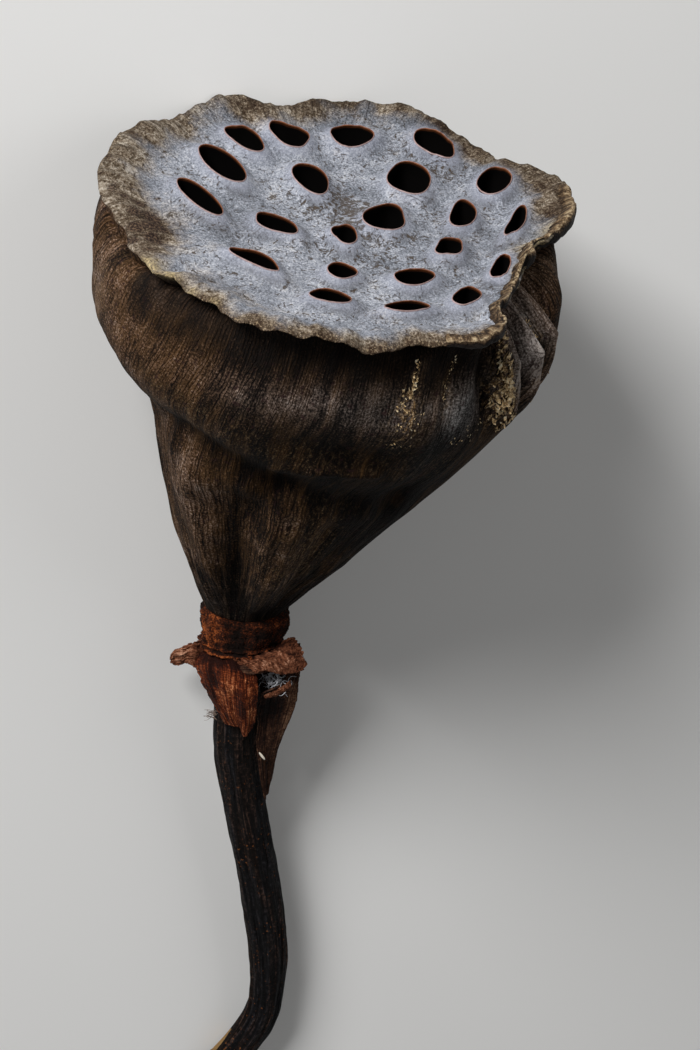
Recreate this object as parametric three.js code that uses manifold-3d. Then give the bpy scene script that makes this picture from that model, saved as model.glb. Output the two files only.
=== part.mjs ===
// A dried lotus pod lying on its side: a seed head with a wavy rim and open seed
// holes, a rough collar below it, torn petal remnants and the bent, cut stem.
// Millimetres. The pieces are drawn in the pod's own frame: the origin is the middle
// of the disc, +Z points out of the disc and -Y is the side that faces up when the
// pod lies. Bearings are degrees round the pod's axis, from +X towards +Y. The groups
// at the end of the file lay the pod down, so that it rests on its shoulder, on the
// rim beside it and on the end of its stem.

import * as THREE from 'three';
import { mergeVertices } from 'three/addons/utils/BufferGeometryUtils.js';
import Module from 'manifold-3d';

const wasm = await Module();
wasm.setup();

// How the pod lies
const lyingPitch = 16;
const lyingRoll = 29;
const discHeight = 46.36;
const restingPlace = { x: -1.6, y: 109.8 };
const touchGap = 0.3;

// The disc and its rim
const bowlDepth = 4;
const rimThickness = 1.2;
const flangeDrop = 3.5;
const rimOutline = [
  [0, 40], [8, 44.5], [18, 49.5], [28, 52], [36, 53], [44, 51], [52, 49], [60, 49],
  [70, 51], [80, 51.5], [90, 50.5], [99, 50.5], [105, 47.5], [111, 45], [119, 44.5],
  [127, 48.5], [134, 49], [150, 49], [160, 50.5], [172, 50.5], [184, 50], [192, 48.5],
  [198, 46.5], [208, 45.5], [226, 48.5], [233, 47], [243, 47.5], [252, 49.5],
  [264, 51], [275, 50.5], [285, 49.5], [293, 47.5], [300, 49], [310, 52.5],
  [316, 51], [321, 45], [328, 42.5], [340, 41], [350, 40],
];
// Each wave of the rim: its bearing, its half width in degrees and its height
const rimWaves = [
  [30, 16, 2], [57, 9, -1], [78, 9, 1.4], [97, 7, -0.8], [123, 10, 1.4],
  [143, 9, -0.6], [163, 11, 1.2], [205, 20, -3], [240, 16, -1.2], [267, 10, 0.8],
  [289, 10, -0.8], [312, 8, 1.6], [345, 16, -1],
];
// How far the rim stands out past the wall below it
const rimOverhang = [
  [0, 2.5], [40, 3], [120, 3], [180, 3.5], [225, 5], [270, 6], [305, 5], [325, 2],
];

const podSides = 64;

// The wall of the pod: its radius at heights above the neck, on four sides
const podHeight = 106.5;
const neckShift = -4.6;
const neckPlane = { rise: 1.5, alongX: 0.1, alongY: -0.25, fade: 25 };
const wallTop = 94;
const wallRadius = {
  right: [
    [0, 8.2], [6, 11.3], [14, 15.2], [24, 20.3], [36, 26.5], [50, 35.3], [66, 43.7], [80, 48.9], [94, 48.3],
  ],
  left: [
    [0, 9.7], [6, 12.4], [14, 16.2], [24, 20.6], [36, 24.5], [50, 29.1], [66, 36.2], [80, 46.4], [94, 49.7],
  ],
  upper: [
    [0, 9.2], [6, 11.8], [14, 15.7], [24, 20.2], [36, 25.3], [50, 31.5], [66, 39], [80, 44.8], [94, 44.5],
  ],
  under: [
    [0, 9], [6, 11.6], [14, 15.2], [24, 19.6], [36, 24.4], [50, 29.2], [66, 33.2], [80, 37.5], [94, 46],
  ],
};
// Folds of the wall: each runs along points of bearing and height
const wallFolds = [
  { along: [[206, 58], [224, 65], [240, 68], [257, 66], [275, 60]], width: 5, lift: -2 },
  { along: [[214, 84], [235, 82], [252, 80]], width: 12, lift: 1.4 },
  { along: [[285, 68], [298, 67], [312, 65]], width: 4, lift: 1 },
  { along: [[288, 57], [315, 56]], width: 8, lift: -1.6 },
  { along: [[244, 8], [238, 26], [230, 48]], width: 5, lift: 1.2 },
  { along: [[259, 8], [259, 28], [261, 50]], width: 4.5, lift: -1.5 },
  { along: [[282, 8], [278, 26], [274, 44]], width: 5.5, lift: 1 },
  { along: [[300, 8], [300, 40]], width: 6, lift: -0.8 },
  { along: [[300, 99], [300, 86]], width: 2.5, lift: 0.8 },
  { along: [[321, 101], [320, 82]], width: 3, lift: -1.6 },
  { along: [[327, 101], [327, 82]], width: 2.6, lift: 1.5 },
  { along: [[334, 101], [334, 80]], width: 3, lift: -1.6 },
  { along: [[342, 101], [342, 80]], width: 3, lift: 1.2 },
  { along: [[350, 101], [350, 82]], width: 3, lift: -1.2 },
  { along: [[0, 101], [2, 82]], width: 3.5, lift: 1 },
];

// Seed holes: the middle, the long and short diameters and the turn of each mouth
const seedHoles = [
  [-14.8, 31, 9.1, 6.4, 6], [-1.9, 35.2, 9.5, 6.9, 16], [-23.8, 24.7, 9.1, 5.9, 164],
  [15.9, 37.5, 10.6, 5.8, 149], [-27, 13, 12.6, 8.2, 144], [12.2, 23.6, 11.2, 9.3, 109],
  [-8.1, 16.3, 10.4, 7.4, 124], [30.1, 26.8, 8.4, 7.2, 99], [-29.2, -2.5, 13.6, 6.9, 138],
  [24.7, 12.7, 10.7, 5.7, 90], [8.9, 6.9, 10.6, 9, 82], [36, 11.8, 11.1, 3.8, 79],
  [-12.7, -4.6, 9.6, 7.4, 169], [1.5, -2.7, 8.3, 5.4, 103], [23.2, -0.8, 8.2, 5.9, 87],
  [-14.7, -21.8, 11.3, 6.9, 157], [34.3, -7, 9.5, 3.9, 84], [2.7, -18.7, 7.8, 6.3, 93],
  [17.3, -16.1, 8.5, 7.5, 34], [28.4, -21.3, 8.8, 5.4, 82], [1.7, -31.1, 8.3, 6.9, 5],
  [17.4, -29.4, 8.6, 4.1, 29],
];
const holeSides = 14;
const lip = { height: 0.9, wall: 0.8, skirt: 2.4, root: 1.2 };
const pit = { depth: 15, gather: 0.86, narrowing: 0.7, mouth: 2, clear: 4 };

// The collar, whose foot slants as the stem bends away
const collarSides = 36;
const collarRadius = 10.1;
const collarFoot = { x: -4.2, y: -1.9, z: -115, alongX: 0.18, alongY: -0.28 };
const collarSlit = { bearing: 266, width: 8, depth: 0.9 };

// The stem: its radius and its middle line at distances below the disc
const stemRadius = [[115.3, 5.2], [140, 5.2], [157, 5], [199.5, 4.8], [212, 4.2], [232, 4.2]];
const stemLine = [
  [115.3, -4.2, -1.9], [124, -3.5, -3.3], [140, -1.4, -5.2], [157, 3.1, -6.1],
  [168, 6.6, -6.9], [185, 11.9, -8.3], [199.5, 15.7, -10], [213.6, 17.4, -12.7],
  [219.3, 16.4, -14.5], [225.8, 13.4, -17.3], [230, 10.6, -19.8], [231.8, 8.2, -21.4],
];
const stemSteps = 30;
const stemSides = 14;
const stemCut = 0.7;

// The petal remnants
const bladeThickness = 0.7;

const radians = THREE.MathUtils.degToRad;
const wrap = THREE.MathUtils.euclideanModulo;
const clamp = THREE.MathUtils.clamp;
const turn = (a, b) => wrap(a - b + 180, 360) - 180;

// A smooth curve through [place, value] pairs; a round one repeats after 360
function through(pairs, place, round = false) {
  const count = pairs.length;
  const pair = (i) => {
    if (!round) return pairs[clamp(i, 0, count - 1)];
    const [at, value] = pairs[wrap(i, count)];
    return [at + 360 * Math.floor(i / count), value];
  };
  const last = round ? count : count - 1;
  const start = pairs[0][0];
  const t = round ? wrap(place - start, 360) + start : clamp(place, start, pairs[last][0]);
  let i = 0;
  while (i < last - 1 && t >= pair(i + 1)[0]) i += 1;
  const slope = (k) => {
    const [a, b] = [pair(k - 1), pair(k + 1)];
    return (b[1] - a[1]) / (b[0] - a[0]);
  };
  const [from, to] = [pair(i), pair(i + 1)];
  const width = to[0] - from[0];
  const s = (t - from[0]) / width;
  const [s2, s3] = [s * s, s * s * s];
  return (2 * s3 - 3 * s2 + 1) * from[1] + (s3 - 2 * s2 + s) * width * slope(i)
    + (3 * s2 - 2 * s3) * to[1] + (s3 - s2) * width * slope(i + 1);
}

const rimRadius = (bearing) => through(rimOutline, bearing, true);
const rimLift = (bearing) => rimWaves.reduce(
  (sum, [at, width, lift]) => sum + lift * Math.exp(-((turn(bearing, at) / width) ** 2)), 0);

// The disc is a shallow bowl that rises into the waves of its rim
function discHeightAt(bearing, part) {
  const ramp = THREE.MathUtils.smoothstep(part, 0.6, 1);
  return rimLift(bearing) * ramp - bowlDepth * (1 - part * part);
}

function foldAt(bearing, height, radius) {
  let relief = 0;
  for (const fold of wallFolds) {
    let nearest = Infinity;
    for (let i = 0; i + 1 < fold.along.length; i += 1) {
      const [[b0, h0], [b1, h1]] = [fold.along[i], fold.along[i + 1]];
      const run = new THREE.Vector2(radians(b1 - b0) * radius, h1 - h0);
      const to = new THREE.Vector2(radians(turn(bearing, b0)) * radius, height - h0);
      const part = clamp(to.dot(run) / run.lengthSq(), 0, 1);
      nearest = Math.min(nearest, to.sub(run.multiplyScalar(part)).length());
    }
    relief += fold.lift * Math.exp(-((nearest / fold.width) ** 2));
  }
  return relief;
}

const wallMiddle = (height) => neckShift * (1 - height / podHeight);

// The floor keeps the underside of the wall flat where the pod lies on it
function floorLimit(bearing, height) {
  const down = Math.sin(radians(bearing - lyingRoll));
  if (down < 0.2) return Infinity;
  const pitch = radians(lyingPitch);
  const room = (discHeight - (podHeight - height) * Math.sin(pitch)) / Math.cos(pitch);
  return (room + wallMiddle(height) * Math.sin(radians(lyingRoll))) / down;
}

function wallRadiusAt(bearing, height) {
  const [across, up] = [Math.cos(radians(bearing)), Math.sin(radians(bearing))];
  const sides = [['right', across], ['left', -across], ['under', up], ['upper', -up]];
  const share = ([side, weight]) => Math.max(weight, 0) ** 2 * through(wallRadius[side], height);
  const plain = sides.reduce((sum, side) => sum + share(side), 0);
  return Math.min(plain + foldAt(bearing, height, plain), floorLimit(bearing, height));
}

function wallPoint(bearing, height, radius = wallRadiusAt(bearing, height)) {
  const x = radius * Math.cos(radians(bearing));
  const y = radius * Math.sin(radians(bearing));
  const fade = clamp(1 - height / neckPlane.fade, 0, 1);
  const tilt = neckPlane.rise + neckPlane.alongX * x + neckPlane.alongY * y;
  return new THREE.Vector3(wallMiddle(height) + x, y, height - podHeight + fade * tilt);
}

// Above the wall its shoulder turns in to the root of the rim
function shoulderPoint(bearing, angle) {
  const rootHeight = podHeight + rimLift(bearing) - flangeDrop;
  const rootRadius = rimRadius(bearing) - through(rimOverhang, bearing, true);
  const height = wallTop + (rootHeight - wallTop) * Math.sin(angle);
  const wall = wallRadiusAt(bearing, wallTop);
  const radius = rootRadius + (wall - rootRadius) * Math.cos(angle);
  const change = foldAt(bearing, height, radius) - foldAt(bearing, wallTop, radius) * Math.cos(angle);
  const folded = radius + change * Math.cos(angle);
  return wallPoint(bearing, height, Math.min(folded, floorLimit(bearing, height)));
}

function rimPoint(bearing, part, drop = 0) {
  const radius = rimRadius(bearing) * part;
  const [x, y] = [radius * Math.cos(radians(bearing)), radius * Math.sin(radians(bearing))];
  return new THREE.Vector3(x, y, discHeightAt(bearing, part) - drop);
}

// A closed body turned round an axis, whose rings are then shaped by the given
// functions of the bearing; the first and last ring shrink to a point
function turned(rings, sides) {
  const profile = rings.map((ring, i) => new THREE.Vector2(i > 0 && i < rings.length - 1 ? 1 : 0, i));
  const geometry = new THREE.LatheGeometry(profile, sides);
  const position = geometry.getAttribute('position');
  for (let i = 0; i < position.count; i += 1) {
    const side = Math.floor(i / rings.length) % sides;
    const point = rings[i % rings.length]((360 * side) / sides);
    position.setXYZ(i, point.x, point.y, point.z);
  }
  return welded(geometry);
}

function welded(geometry) {
  geometry.deleteAttribute('normal');
  geometry.deleteAttribute('uv');
  return mergeVertices(geometry);
}

function toSolid(geometry) {
  const vertProperties = Float32Array.from(geometry.getAttribute('position').array);
  const triVerts = Uint32Array.from(geometry.getIndex().array);
  return new wasm.Manifold(new wasm.Mesh({ numProp: 3, vertProperties, triVerts }));
}

function toGeometry(solid) {
  const mesh = solid.getMesh();
  const geometry = new THREE.BufferGeometry();
  geometry.setAttribute('position', new THREE.BufferAttribute(mesh.vertProperties, 3));
  geometry.setIndex(new THREE.BufferAttribute(mesh.triVerts, 1));
  return geometry;
}

// A stack of ellipses at one seed hole, each a size, a height and a pull to the axis
function ellipseStack([x, y, long, short, angle], rings) {
  const bearing = THREE.MathUtils.radToDeg(Math.atan2(y, x));
  const level = discHeightAt(bearing, Math.hypot(x, y) / rimRadius(bearing));
  const ring = ({ extra = 0, scale = 1, height, gather = 1 }) => (side) => {
    const [a, b] = [(long / 2 + extra) * scale, (short / 2 + extra) * scale];
    const across = new THREE.Vector2(a * Math.cos(radians(side)), b * Math.sin(radians(side)));
    across.rotateAround(new THREE.Vector2(), radians(angle));
    return new THREE.Vector3(x * gather + across.x, y * gather + across.y, level + height);
  };
  const [first, last] = [rings[0], rings[rings.length - 1]].map((end) => ring({ ...end, scale: 0 }));
  return toSolid(turned([first, ...rings.map(ring), last], holeSides));
}

function seedPod() {
  const wallHeights = [0, 3, 7, 12, 18, 25, 32, 40, 48, 56, 63, 70, 77, 84, 89, wallTop];
  const shoulderAngles = [30, 60, 90].map(radians);
  const discParts = [0.965, 0.9, 0.8, 0.66, 0.48, 0.26];
  const rings = [
    () => wallPoint(0, 0, 0),
    ...wallHeights.map((height) => (bearing) => wallPoint(bearing, height)),
    ...shoulderAngles.map((angle) => (bearing) => shoulderPoint(bearing, angle)),
    (bearing) => rimPoint(bearing, 1, rimThickness),
    (bearing) => rimPoint(bearing, 1),
    ...discParts.map((part) => (bearing) => rimPoint(bearing, part)),
    () => rimPoint(0, 0),
  ];
  let solid = toSolid(turned(rings, podSides));
  for (const hole of seedHoles) {
    solid = solid.add(ellipseStack(hole, [
      { extra: lip.skirt, height: -lip.root },
      { extra: lip.skirt, height: 0.1 },
      { extra: lip.wall, height: lip.height },
    ]));
  }
  for (const hole of seedHoles) {
    solid = solid.subtract(ellipseStack(hole, [
      { scale: pit.narrowing, height: -pit.depth, gather: pit.gather },
      { height: -pit.mouth },
      { height: pit.clear },
    ]));
  }
  return toGeometry(solid);
}

// Rough bumps that repeat round the collar, in millimetres
function collarRoughness(bearing, part) {
  const a = radians(bearing);
  const bumps = 0.22 * Math.sin(5 * a + 9 * part) + 0.16 * Math.sin(9 * a - 14 * part + 1)
    + 0.12 * Math.sin(14 * a + 21 * part + 2);
  const slit = Math.exp(-((turn(bearing, collarSlit.bearing) / collarSlit.width) ** 2));
  return bumps - collarSlit.depth * slit * THREE.MathUtils.smoothstep(part, 0.25, 0.6);
}

const neckLevel = (x, y) => wallPoint(0, 0, 0).z + neckPlane.alongX * (x - neckShift) + neckPlane.alongY * y;
const footLevel = (x, y) => collarFoot.z + collarFoot.alongX * (x - collarFoot.x)
  + collarFoot.alongY * (y - collarFoot.y);

function collar() {
  // Part 0 is the foot of the collar and part 1 its top, under the pod's neck
  const ring = (part, radius) => (bearing) => {
    const size = radius && radius + collarRoughness(bearing, part);
    const x = THREE.MathUtils.lerp(collarFoot.x, neckShift, part) + size * Math.cos(radians(bearing));
    const y = THREE.MathUtils.lerp(collarFoot.y, 0, part) + size * Math.sin(radians(bearing));
    return new THREE.Vector3(x, y, THREE.MathUtils.lerp(footLevel(x, y), neckLevel(x, y) - touchGap, part));
  };
  return turned([
    ring(0, 0), ring(0, collarRadius - 0.9), ring(0.07, collarRadius - 0.1), ring(0.2, collarRadius + 0.1),
    ring(0.3, collarRadius - 0.5), ring(0.45, collarRadius), ring(0.62, collarRadius + 0.2),
    ring(0.8, collarRadius - 0.1), ring(0.94, collarRadius + 0.3), ring(1, collarRadius - 0.2), ring(1, 0),
  ], collarSides);
}

// The stem is swept down its middle line, under the collar's slanting foot
function stem() {
  const along = (column) => stemLine.map((row) => [row[0], row[column]]);
  const middle = (below) => new THREE.Vector3(through(along(1), below), through(along(2), below), -below);
  const [start, end] = [stemLine[0][0], stemLine[stemLine.length - 1][0]];
  const curve = new THREE.CatmullRomCurve3(
    Array.from({ length: 60 }, (_, i) => middle(THREE.MathUtils.lerp(start, end, i / 59))));
  const frames = curve.computeFrenetFrames(stemSteps);
  const ring = (step, size = 1) => (bearing) => {
    const point = curve.getPointAt(step / stemSteps);
    const ribs = 0.16 * Math.cos(radians(5 * bearing)) + 0.1 * Math.cos(radians(9 * bearing + 40));
    const radius = (through(stemRadius, -point.z) + ribs) * size;
    const out = frames.normals[step].clone().multiplyScalar(Math.cos(radians(bearing)) * radius);
    out.addScaledVector(frames.binormals[step], Math.sin(radians(bearing)) * radius);
    point.add(out);
    if (step === 0) point.z = footLevel(point.x, point.y) - touchGap;
    if (step === stemSteps) point.addScaledVector(frames.tangents[step], stemCut * out.x);
    return point;
  };
  const rings = Array.from({ length: stemSteps + 1 }, (_, step) => ring(step));
  return turned([ring(0, 0), ...rings, ring(stemSteps, 0)], stemSides);
}

// A thin torn blade: a net of points, in rows, gives the middle of its thickness
function blade(net, across, along) {
  const netPoint = (u, v) => {
    const rowAt = (row) => [0, 1, 2].map(
      (axis) => through(row.map((point, i) => [i / (row.length - 1), point[axis]]), u));
    const rows = net.map(rowAt);
    return new THREE.Vector3(...[0, 1, 2].map(
      (axis) => through(rows.map((row, i) => [i / (rows.length - 1), row[axis]]), v)));
  };
  const facing = (u, v) => {
    const step = 0.01;
    const [u0, u1] = [Math.max(u - step, 0), Math.min(u + step, 1)];
    const [v0, v1] = [Math.max(v - step, 0), Math.min(v + step, 1)];
    const run = netPoint(u1, v).sub(netPoint(u0, v));
    return run.cross(netPoint(u, v1).sub(netPoint(u, v0))).normalize();
  };
  const box = new THREE.BoxGeometry(1, 1, 1, across, along, 1);
  matchDiagonals(box);
  const position = box.getAttribute('position');
  for (let i = 0; i < position.count; i += 1) {
    const [u, v] = [position.getX(i) + 0.5, position.getY(i) + 0.5];
    const point = netPoint(u, v).addScaledVector(facing(u, v), position.getZ(i) * bladeThickness);
    position.setXYZ(i, point.x, point.y, point.z);
  }
  return welded(box);
}

// Splits the back of a box into triangles the same way as its front
function matchDiagonals(box) {
  const index = box.getIndex();
  const back = box.groups[5];
  for (let i = back.start; i < back.start + back.count; i += 6) {
    const [a, b, d, c] = [0, 1, 2, 4].map((k) => index.getX(i + k));
    [a, b, c, a, c, d].forEach((corner, k) => index.setX(i + k, corner));
  }
}

const frontFlapNet = [
  [[-13, -5.7, -116.5], [-10.2, -9.1, -115.1], [-5.9, -11.4, -114.3], [-0.6, -12.6, -113.6]],
  [[-11.4, -8.4, -121.3], [-8.2, -11.9, -120.3], [-3.6, -13.9, -119.4], [1.3, -14.2, -119]],
  [[-8.2, -9.4, -126.5], [-6, -12.4, -126], [-2.4, -14, -125.4], [1.9, -13.9, -124.4]],
  [[-4.6, -10.2, -131.2], [-2.8, -12.2, -130.8], [0.4, -13, -132.8], [2.4, -13, -129]],
];
const longFlapNet = [
  [[3.3, -9.9, -121.4], [7, -8.5, -118.4], [9.1, -4, -114.6]],
  [[2.8, -10, -124], [7.1, -8.9, -121.8], [10.2, -4.8, -118.6]],
  [[2.7, -10, -129], [6.8, -9, -128], [10.4, -5.3, -126]],
  [[3.7, -10, -136], [6.7, -8.9, -135], [9.2, -6.1, -133.4]],
  [[5.8, -9.4, -144.6], [7.5, -8.2, -144.4], [8.8, -6.5, -143.4]],
  [[7.8, -8, -152.6], [8.3, -7.5, -154], [8.7, -7, -153.4]],
];
const leftTipNet = [
  [[-14.9, -1.6, -114.2], [-14.8, -4.2, -116.4], [-13.9, -6.9, -118.6]],
  [[-17, -3, -116], [-16.9, -4.8, -118.4], [-15.6, -6.4, -120.9]],
  [[-19.2, -4, -118.6], [-19.5, -4.8, -120.8], [-18.4, -5.6, -122.4]],
];

// The skirt is a slanting ring of skin round the right of the collar's foot: each
// row has a bearing, the reach of its outer edge and the drop of that edge
const skirtRows = [
  [252, 10.6, 1.2], [272, 12.4, 1.6], [290, 13.8, 2.1], [308, 14.4, 1.9],
  [323, 14.8, 2.6], [338, 15.4, 3.2], [351, 16.4, 3.6], [366, 14.2, 3], [380, 12.2, 2],
];
function skirtNet() {
  const innerReach = 8.6;
  return skirtRows.map(([bearing, reach, drop]) => [0, 0.5, 1].map((part) => {
    const radius = THREE.MathUtils.lerp(innerReach, reach, part);
    const x = collarFoot.x + radius * Math.cos(radians(bearing));
    const y = collarFoot.y + radius * Math.sin(radians(bearing));
    const below = THREE.MathUtils.lerp(touchGap + bladeThickness / 2, drop, part * part);
    return [x, y, footLevel(x, y) - below];
  }));
}

const material = (color, roughness) => new THREE.MeshStandardMaterial({ color, roughness, metalness: 0 });
const wallSkin = material(0x5d5046, 0.85);
const rustySkin = material(0x6b3420, 0.9);
const petalSkin = material(0x8a4a2c, 0.8);
const paperySkin = material(0x7a5638, 0.85);
const stemSkin = material(0x2b2320, 0.75);

function piece(name, geometry, skin) {
  geometry.computeVertexNormals();
  const mesh = new THREE.Mesh(geometry, skin);
  mesh.name = name;
  return mesh;
}

// The rolled group turns the pod round its axis and the lying group tips it over
const rolled = new THREE.Group();
rolled.rotation.z = -radians(lyingRoll);
rolled.add(
  piece('seed_pod', seedPod(), wallSkin),
  piece('collar', collar(), rustySkin),
  piece('petal_front', blade(frontFlapNet, 6, 8), petalSkin),
  piece('petal_long', blade(longFlapNet, 5, 14), paperySkin),
  piece('petal_left', blade(leftTipNet, 4, 5), petalSkin),
  piece('petal_skirt', blade(skirtNet(), 3, 18), paperySkin),
  piece('stem', stem(), stemSkin),
);
const lying = new THREE.Group();
lying.rotation.x = -radians(90 - lyingPitch);
lying.position.set(restingPlace.x, restingPlace.y, discHeight);
lying.add(rolled);

const lotusPod = new THREE.Group();
lotusPod.add(lying);

export default lotusPod;
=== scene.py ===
# A dried lotus pod that lies on its side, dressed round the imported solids.
# The pieces are shaped in the pod's own frame, in millimetres: the origin is the
# middle of the disc, +Z points out of the disc and -Y faces up when the pod lies.
# Bearings are degrees round the pod's axis, from +X towards +Y. layDown() puts a
# finished piece in its place, in metres.
import math

import bpy
import numpy as np
from mathutils import Euler, Matrix, Vector, noise


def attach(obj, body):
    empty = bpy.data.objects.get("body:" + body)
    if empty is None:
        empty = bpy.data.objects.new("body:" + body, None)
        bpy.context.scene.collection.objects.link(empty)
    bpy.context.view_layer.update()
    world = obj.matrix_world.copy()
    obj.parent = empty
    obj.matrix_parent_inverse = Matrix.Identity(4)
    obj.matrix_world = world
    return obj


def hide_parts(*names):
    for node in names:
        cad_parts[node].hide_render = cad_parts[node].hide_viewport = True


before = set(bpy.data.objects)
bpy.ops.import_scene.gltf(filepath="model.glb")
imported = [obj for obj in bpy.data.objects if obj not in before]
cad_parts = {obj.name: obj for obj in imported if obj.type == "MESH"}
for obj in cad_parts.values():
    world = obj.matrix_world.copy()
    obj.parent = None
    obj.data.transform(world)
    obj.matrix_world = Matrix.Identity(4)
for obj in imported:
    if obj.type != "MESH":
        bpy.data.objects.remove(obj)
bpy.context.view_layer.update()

# How the pod lies: its tips and turns in degrees, the place of the disc's middle in mm
lying = {"pitch": 16, "roll": 29, "x": -1.6, "y": 109.8, "discHeight": 46.36}
podPlace = (
    Matrix.Diagonal((0.001, 0.001, 0.001, 1))
    @ Matrix.Translation((lying["x"], lying["y"], lying["discHeight"]))
    @ Matrix.Rotation(math.radians(lying["pitch"] - 90), 4, "X")
    @ Matrix.Rotation(math.radians(-lying["roll"]), 4, "Z")
)


# small helpers for shapes

def smoothCurve(pairs, place, isRound=False):
    # a smooth curve through [place, value] pairs; a round one repeats after 360
    places = np.array([pair[0] for pair in pairs], float)
    values = np.array([pair[1] for pair in pairs], float)
    place = np.asarray(place, float)
    if isRound:
        first = places[0]
        places = np.concatenate([[places[-1] - 360], places, [first + 360, places[1] + 360]])
        values = np.concatenate([[values[-1]], values, values[:2]])
        place = np.mod(place - first, 360) + first
    place = np.clip(place, places[0], places[-1])
    i = np.clip(np.searchsorted(places, place, side="right") - 1, 0, len(places) - 2)
    slope = np.empty(len(places))
    slope[1:-1] = (values[2:] - values[:-2]) / (places[2:] - places[:-2])
    slope[0] = (values[1] - values[0]) / (places[1] - places[0])
    slope[-1] = (values[-1] - values[-2]) / (places[-1] - places[-2])
    width = places[i + 1] - places[i]
    s = (place - places[i]) / width
    return ((2 * s**3 - 3 * s**2 + 1) * values[i] + (s**3 - 2 * s**2 + s) * width * slope[i]
            + (3 * s**2 - 2 * s**3) * values[i + 1] + (s**3 - s**2) * width * slope[i + 1])


def turnBetween(a, b):
    return np.mod(a - b + 180, 360) - 180


def easeIn(value, low, high):
    s = np.clip((value - low) / (high - low), 0, 1)
    return s * s * (3 - 2 * s)


def grain(x, y, z):
    # smooth noise from -1 to 1 at every point of three arrays
    x, y, z = np.broadcast_arrays(x, y, z)
    return np.array([noise.noise(Vector(point)) for point in zip(x.ravel(), y.ravel(), z.ravel())]
                    ).reshape(x.shape)


def roundGrain(bearing, height, turns, tall, start=0.0):
    # noise that closes round the pod: turns sets how fine it is round, tall how long
    angle = np.radians(bearing)
    return grain(np.cos(angle) * turns + start, np.sin(angle) * turns, height / tall + start)


# small helpers for pieces

def deselect():
    if bpy.context.object and bpy.context.object.mode != "OBJECT":
        bpy.ops.object.mode_set(mode="OBJECT")
    bpy.ops.object.select_all(action="DESELECT")


def makeActive(piece):
    deselect()
    piece.select_set(True)
    bpy.context.view_layer.objects.active = piece


def named(name):
    piece = bpy.context.object
    piece.name = name
    piece.data.name = name
    return piece


def readPoints(piece):
    points = np.empty(len(piece.data.vertices) * 3)
    piece.data.vertices.foreach_get("co", points)
    return points.reshape(-1, 3)


def writePoints(piece, points):
    piece.data.vertices.foreach_set("co", np.asarray(points, float).ravel())
    piece.data.update()


def closedForm(name, sides, stations):
    # a flat grid wrapped round the axis: its rows go to the stations, from the top down,
    # and the seam and the two ends are merged
    deselect()
    bpy.ops.mesh.primitive_grid_add(x_subdivisions=sides, y_subdivisions=len(stations) - 1, size=2)
    piece = named(name)
    points = readPoints(piece)
    rows = np.rint((1 - points[:, 1]) / 2 * (len(stations) - 1)).astype(int)
    bearings = (points[:, 0] + 1) * 180
    for i, station in enumerate(stations):
        inRow = rows == i
        points[inRow] = station(bearings[inRow])
    writePoints(piece, points)
    mergeDoubles(piece, 0.0005)
    return piece


def mergeDoubles(piece, distance):
    makeActive(piece)
    bpy.ops.object.mode_set(mode="EDIT")
    bpy.ops.mesh.select_all(action="SELECT")
    bpy.ops.mesh.remove_doubles(threshold=distance)
    bpy.ops.object.mode_set(mode="OBJECT")


def applyModifier(piece, kind, **settings):
    makeActive(piece)
    modifier = piece.modifiers.new(kind.title(), kind)
    for setting, value in settings.items():
        setattr(modifier, setting, value)
    bpy.ops.object.modifier_apply(modifier=modifier.name)


def setAttribute(piece, name, values):
    values = np.asarray(values, float)
    kind = "FLOAT_VECTOR" if values.ndim == 2 else "FLOAT"
    layer = piece.data.attributes.new(name, kind, "POINT")
    layer.data.foreach_set("vector" if values.ndim == 2 else "value", values.ravel())


def layDown(piece, materials, slot, *nodes):
    # from millimetres in the pod's frame to its place, with its rides
    makeActive(piece)
    piece.matrix_world = podPlace
    bpy.ops.object.transform_apply(location=True, rotation=True, scale=True)
    points = readPoints(piece)
    points[:, 2] = np.maximum(points[:, 2], 0)
    writePoints(piece, points)
    makeActive(piece)
    bpy.ops.object.shade_smooth_by_angle(angle=math.radians(50))
    for material in materials:
        piece.data.materials.append(material)
    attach(piece, "root")
    if nodes:
        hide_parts(*nodes)
    print("made", piece.name, "with", sum(len(face.vertices) - 2 for face in piece.data.polygons), "triangles")


# small helpers for materials

def addNode(tree, kind, inputs=None, output=0, **settings):
    made = tree.nodes.new("ShaderNode" + kind)
    for setting, value in settings.items():
        setattr(made, setting, value)
    for socket, value in (inputs or {}).items():
        if isinstance(value, bpy.types.NodeSocket):
            tree.links.new(value, made.inputs[socket])
        else:
            made.inputs[socket].default_value = value
    return made.outputs[output]


def newMaterial(name, **shaderValues):
    material = bpy.data.materials.new(name)
    material.use_nodes = True
    shader = material.node_tree.nodes["Principled BSDF"]
    for socket, value in shaderValues.items():
        shader.inputs[socket].default_value = value
    return material, material.node_tree, shader


def attribute(tree, name, output="Fac"):
    return addNode(tree, "Attribute", output=output, attribute_name=name)


def stretched(tree, vector, x, y, z):
    return addNode(tree, "VectorMath", {0: vector, 1: (x, y, z)}, operation="MULTIPLY")


def noiseAt(tree, vector, scale=1.0, detail=3.0, roughness=0.55, distortion=0.0):
    return addNode(tree, "TexNoise", {"Vector": vector, "Scale": scale, "Detail": detail,
                                      "Roughness": roughness, "Distortion": distortion})


def maths(tree, operation, a, b=0.0, c=0.0):
    return addNode(tree, "Math", {0: a, 1: b, 2: c}, operation=operation)


def ranged(tree, value, fromLow, fromHigh, toLow=0.0, toHigh=1.0):
    return addNode(tree, "MapRange", {0: value, 1: fromLow, 2: fromHigh, 3: toLow, 4: toHigh})


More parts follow.
